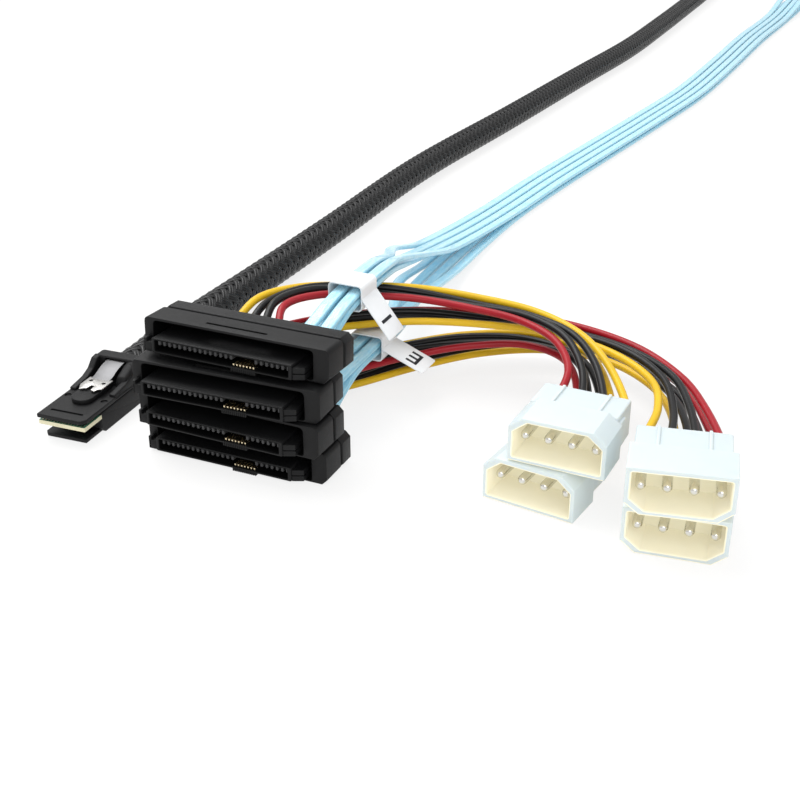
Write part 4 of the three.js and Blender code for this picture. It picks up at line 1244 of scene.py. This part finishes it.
class CABLE_OT_power_plugs(bpy.types.Operator):
    """Builds the four power plugs: cloudy white nylon shroud with a painted glow, rear block and
    four tube pins
    """

    bl_idname = "cable.power_plugs"
    bl_label = "Power plugs"

    def execute(self, context):
        settings = context.scene.cable_power
        # Two tones of one nylon, both with a painted glow; the second, warmer and glowing more, is
        # painted light coming through the nylon, on the shroud's inside and on the faces that look
        # down
        paints = [milky_with_painted_glow("nylon_outside_painted_glow", tuple(settings.outside), 0.16),
                  milky_with_painted_glow("nylon_inside_and_below_painted_glow", tuple(settings.inside), 0.34)]
        tin = metal("pin_tin", tuple(settings.pin), 0.2)
        for name, place in POWER_PLUGS.items():
            piece(f"{name}_shroud", self.glow_painted_on_downward_faces(framed(self.shroud(), place)), paints,
                  replaces=[f"{name}_housing"])
            pins = [f"{name}_pin_{k + 1}" for k in range(PIN_COUNT)]
            piece(f"{name}_pins", framed(self.pins(), place), [tin], replaces=pins,
                  sharp=50)
        return {"FINISHED"}

    def glow_painted_on_downward_faces(self, shells):
        """Gives the second nylon, with its warmer colour and stronger painted glow, to the faces
        that look down: painted light, as if light came through them.
        """
        for shell in shells:
            for k, face in enumerate(shell.faces):
                a, b, c = (shell.points[face[i]] for i in (0, 1, 2))
                normal = np.cross(b - a, c - b)
                size = np.linalg.norm(normal)
                if size and normal[2] / size < DOWNWARD:
                    shell.paints[k] = 1
        return shells

    def shroud(self):
        outer, inner = power_outline(0), power_outline(POWER_WALL)
        shells = [pocket_block(outer, inner, 0, SHROUD_DEPTH, SHROUD_DEPTH - POWER_WALL,
                               edge=0.35, lip=0.3)]
        half, high = POWER_HALF - REAR_INSET, POWER_HEIGHT / 2 - REAR_INSET
        rear = rounded(rectangle(-half, half, -high, high), 0.6, 3)
        shells.append(slab(rear, SHROUD_DEPTH - 0.5, POWER_LENGTH, "y", edge=0.4, steps=3))
        start = SHROUD_DEPTH - 0.2
        for side in (-1, 1):
            levels = sorted((side * (high - 0.2), side * (high + 0.5)))
            for x in RIB_X:
                shells.append(block(span(x, RIB_HALF), (start, POWER_LENGTH - 0.4), levels,
                                    corner=0.2, edge=0.2))
            across = sorted((side * (half - 0.2), side * (half + 0.6)))
            shells.append(block(across, (start, SHROUD_DEPTH + SHOULDER_DEPTH),
                                span(0, SHOULDER_HALF), corner=0.3, edge=0.3))
        for x in spread(PIN_COUNT, PIN_PITCH):
            ring = circle(POWER_COLLAR_RADIUS, 20) + [x, 0]
            shells.append(slab(ring, POWER_LENGTH - 0.3, POWER_LENGTH + 0.7, "y", edge=0.25))
        return shells

    def pins(self):
        around = circle(PIN_RADIUS, 28)
        around[14] *= PIN_SEAM
        grid = stacked([(around * share, y) for y, share in PIN_PROFILE], "y")
        return [rings(grid + [x, 0, 0]) for x in spread(PIN_COUNT, PIN_PITCH)]


# Labels

LABEL_LENGTH = 8.0
FLAG_LENGTH = 11.5
FILM = 0.3
PRINT_PLACE = 0.62
PRINT_SIZE = 2.0
BAND = (4.3, 3.2)
# Middle of a label's band, slope of its flag, and the strokes of its number
LABELS = {
    "label_1": ((12.5, 40, 29.25), -52, [((-0.2, 0.2), (-1.2, 1.2))]),
    "label_2": ((13.4, 49, 13.03), -22, [
        ((-0.7, 0.7), (0.8, 1.2)), ((-0.7, 0.7), (-0.2, 0.2)), ((-0.7, 0.7), (-1.2, -0.8)),
        ((0.4, 0.8), (-1.2, 1.2))]),
}


class CABLE_OT_labels(bpy.types.Operator):
    """Wraps a flag label round each bundle of four ribbons"""

    bl_idname = "cable.labels"
    bl_label = "Flag labels"

    def execute(self, context):
        settings = context.scene.cable_power
        paints = [film("label_film", tuple(settings.label)),
                  moulding("label_ink", tuple(settings.ink), 0.5)]
        for name, (middle, slope, strokes) in LABELS.items():
            root = (middle[0] + BAND[0] - FILM / 2, *middle[1:])
            flag = [shell.at(Place(turned(1, -slope), root)) for shell in self.flag(strokes)]
            band = self.band().at(Place(np.eye(3), middle))
            piece(f"{name}_film", framed([band, *flag]), paints, replaces=[name])
        return {"FINISHED"}

    def band(self):
        """Loop of film: out along Y on its outside and back on its inside."""
        half = LABEL_LENGTH / 2
        outer = rounded(rectangle(-BAND[0], BAND[0], -BAND[1], BAND[1]), 1.3, 6)
        inner = inset(outer, FILM)
        levels = [(outer, half), (outer, -half), (inner, -half), (inner, half)]
        return rings(stacked(levels, "y"), loop=True)

    def flag(self, strokes):
        half = LABEL_LENGTH / 2
        shells = [block((-0.1, FLAG_LENGTH - 0.1), (-half, half), (-FILM / 2, FILM / 2), "z",
                        edge=0.08, corner=0.4)]
        for x, y in strokes:
            along = [FLAG_LENGTH * PRINT_PLACE + value * PRINT_SIZE for value in x]
            across = [value * PRINT_SIZE for value in y]
            shells.append(block(along, across, span(FILM / 2, 0.05), edge=0.02, corner=0.05,
                                paint=1))
        return shells


# Stage

FLOOR_HALF = 6.0
FLOOR_DROP = 0.0001
LIGHT_TARGET = (0.03, 0.03, 0.0)
# Softboxes: place, size and share of the key light's power
SOFTBOXES = {
    "key_light": ((-0.32, 0.18, 0.75), 0.7, 1.0),
    "front_light": ((0.38, -0.57, 0.5), 0.6, 0.35),
}


class CABLE_OT_stage(bpy.types.Operator):
    """Sets the camera, the pale floor and the soft studio light"""

    bl_idname = "cable.stage"
    bl_label = "Stage"

    def execute(self, context):
        scene = context.scene
        self.camera(scene)
        self.floor(scene.cable_stage)
        self.world(scene)
        for name, (place, size, share) in SOFTBOXES.items():
            self.softbox(name, place, size, scene.cable_stage.key * share)
        scene.view_settings.view_transform = "Standard"
        return {"FINISHED"}

    def camera(self, scene):
        settings = scene.cable_camera
        data = bpy.data.cameras.new("photo_camera")
        data.lens = settings.lens
        data.sensor_width = 36
        data.clip_start, data.clip_end = 0.01, 20
        camera = bpy.data.objects.new("photo_camera", data)
        camera.location = settings.place
        camera.rotation_euler = (math.pi / 2 - settings.elevation, 0, settings.azimuth)
        scene.collection.objects.link(camera)
        scene.camera = camera

    def floor(self, stage):
        half = FLOOR_HALF
        corners = [(-half, -half, 0), (half, -half, 0), (half, half, 0), (-half, half, 0)]
        mesh = bpy.data.meshes.new("floor")
        mesh.from_pydata(corners, [], [(0, 1, 2, 3)])
        paint = Paint("floor_paper", {"Roughness": 0.8, "Specular IOR Level": 0.1})
        paint.feed({"Base Color": tuple(stage.floor)})
        path = paint.tree.nodes.new("ShaderNodeLightPath")
        seen, mirrored, through = (Signal(paint, path.outputs[f"Is {ray} Ray"])
                                   for ray in ("Camera", "Glossy", "Transmission"))
        glow = paint.node("ShaderNodeEmission", None, {"Color": (1, 1, 1), "Strength": 1.0})
        share = (seen + mirrored + through).within() * stage.glow
        mix = paint.node("ShaderNodeMixShader", None, {
            0: share, 1: Signal(paint, paint.shader.outputs[0]), 2: glow})
        output = next(n for n in paint.tree.nodes if n.type == "OUTPUT_MATERIAL")
        paint.tree.links.new(mix.socket, output.inputs["Surface"])
        mesh.materials.append(paint.material)
        made = bpy.data.objects.new("floor", mesh)
        made.location.z = -FLOOR_DROP
        bpy.context.scene.collection.objects.link(made)

    def world(self, scene):
        world = bpy.data.worlds.new("studio")
        world.use_nodes = True
        tree = world.node_tree
        background = tree.nodes["Background"]
        path = tree.nodes.new("ShaderNodeLightPath")
        strength = tree.nodes.new("ShaderNodeMix")
        strength.inputs[2].default_value = scene.cable_stage.sky
        strength.inputs[3].default_value = 1.0
        tree.links.new(path.outputs["Is Camera Ray"], strength.inputs[0])
        tree.links.new(strength.outputs[0], background.inputs["Strength"])
        background.inputs["Color"].default_value = (1, 1, 1, 1)
        scene.world = world

    def softbox(self, name, place, size, power):
        """Square light at a place, turned to look at LIGHT_TARGET."""
        data = bpy.data.lights.new(name, "AREA")
        data.shape = "SQUARE"
        data.size = size
        data.energy = power
        light = bpy.data.objects.new(name, data)
        light.location = place
        away = np.subtract(place, LIGHT_TARGET)
        flat = math.hypot(away[0], away[1])
        light.rotation_euler = (math.atan2(flat, away[2]), 0, math.atan2(away[0], -away[1]))
        bpy.context.scene.collection.objects.link(light)


# Panel and registration


class CABLE_PT_looks(bpy.types.Panel):
    """Lists the pieces of the cable and their settings"""

    bl_label = "Breakout cable"
    bl_space_type = "VIEW_3D"
    bl_region_type = "UI"
    bl_category = "Cable"

    def draw(self, context):
        for operator in OPERATORS:
            self.layout.operator(operator.bl_idname)
        for holder in SETTINGS:
            settings = getattr(context.scene, holder)
            box = self.layout.box()
            for name in settings.bl_rna.properties.keys():
                if name not in ("rna_type", "name"):
                    box.prop(settings, name)


SETTINGS = {
    "cable_camera": CameraSettings,
    "cable_stage": StageSettings,
    "cable_cords": CordSettings,
    "cable_drives": DriveSettings,
    "cable_plug": PlugSettings,
    "cable_power": PowerSettings,
}
OPERATORS = (
    CABLE_OT_stage, CABLE_OT_drive_connectors, CABLE_OT_latched_plug, CABLE_OT_power_plugs,
    CABLE_OT_trunk, CABLE_OT_ribbons, CABLE_OT_wires, CABLE_OT_labels,
)


def register():
    for group in SETTINGS.values():
        bpy.utils.register_class(group)
    for entry in (*OPERATORS, CABLE_PT_looks):
        bpy.utils.register_class(entry)
    for holder, group in SETTINGS.items():
        setattr(bpy.types.Scene, holder, bpy.props.PointerProperty(type=group))


def unregister():
    for holder in SETTINGS:
        delattr(bpy.types.Scene, holder)
    for entry in (CABLE_PT_looks, *reversed(OPERATORS)):
        bpy.utils.unregister_class(entry)
    for group in SETTINGS.values():
        bpy.utils.unregister_class(group)


def main():
    register()
    bpy.ops.cable.stage()
    bpy.ops.cable.drive_connectors()
    bpy.ops.cable.latched_plug()
    bpy.ops.cable.power_plugs()
    bpy.ops.cable.trunk()
    bpy.ops.cable.ribbons()
    bpy.ops.cable.wires()
    bpy.ops.cable.labels()


if __name__ == "__main__":
    main()
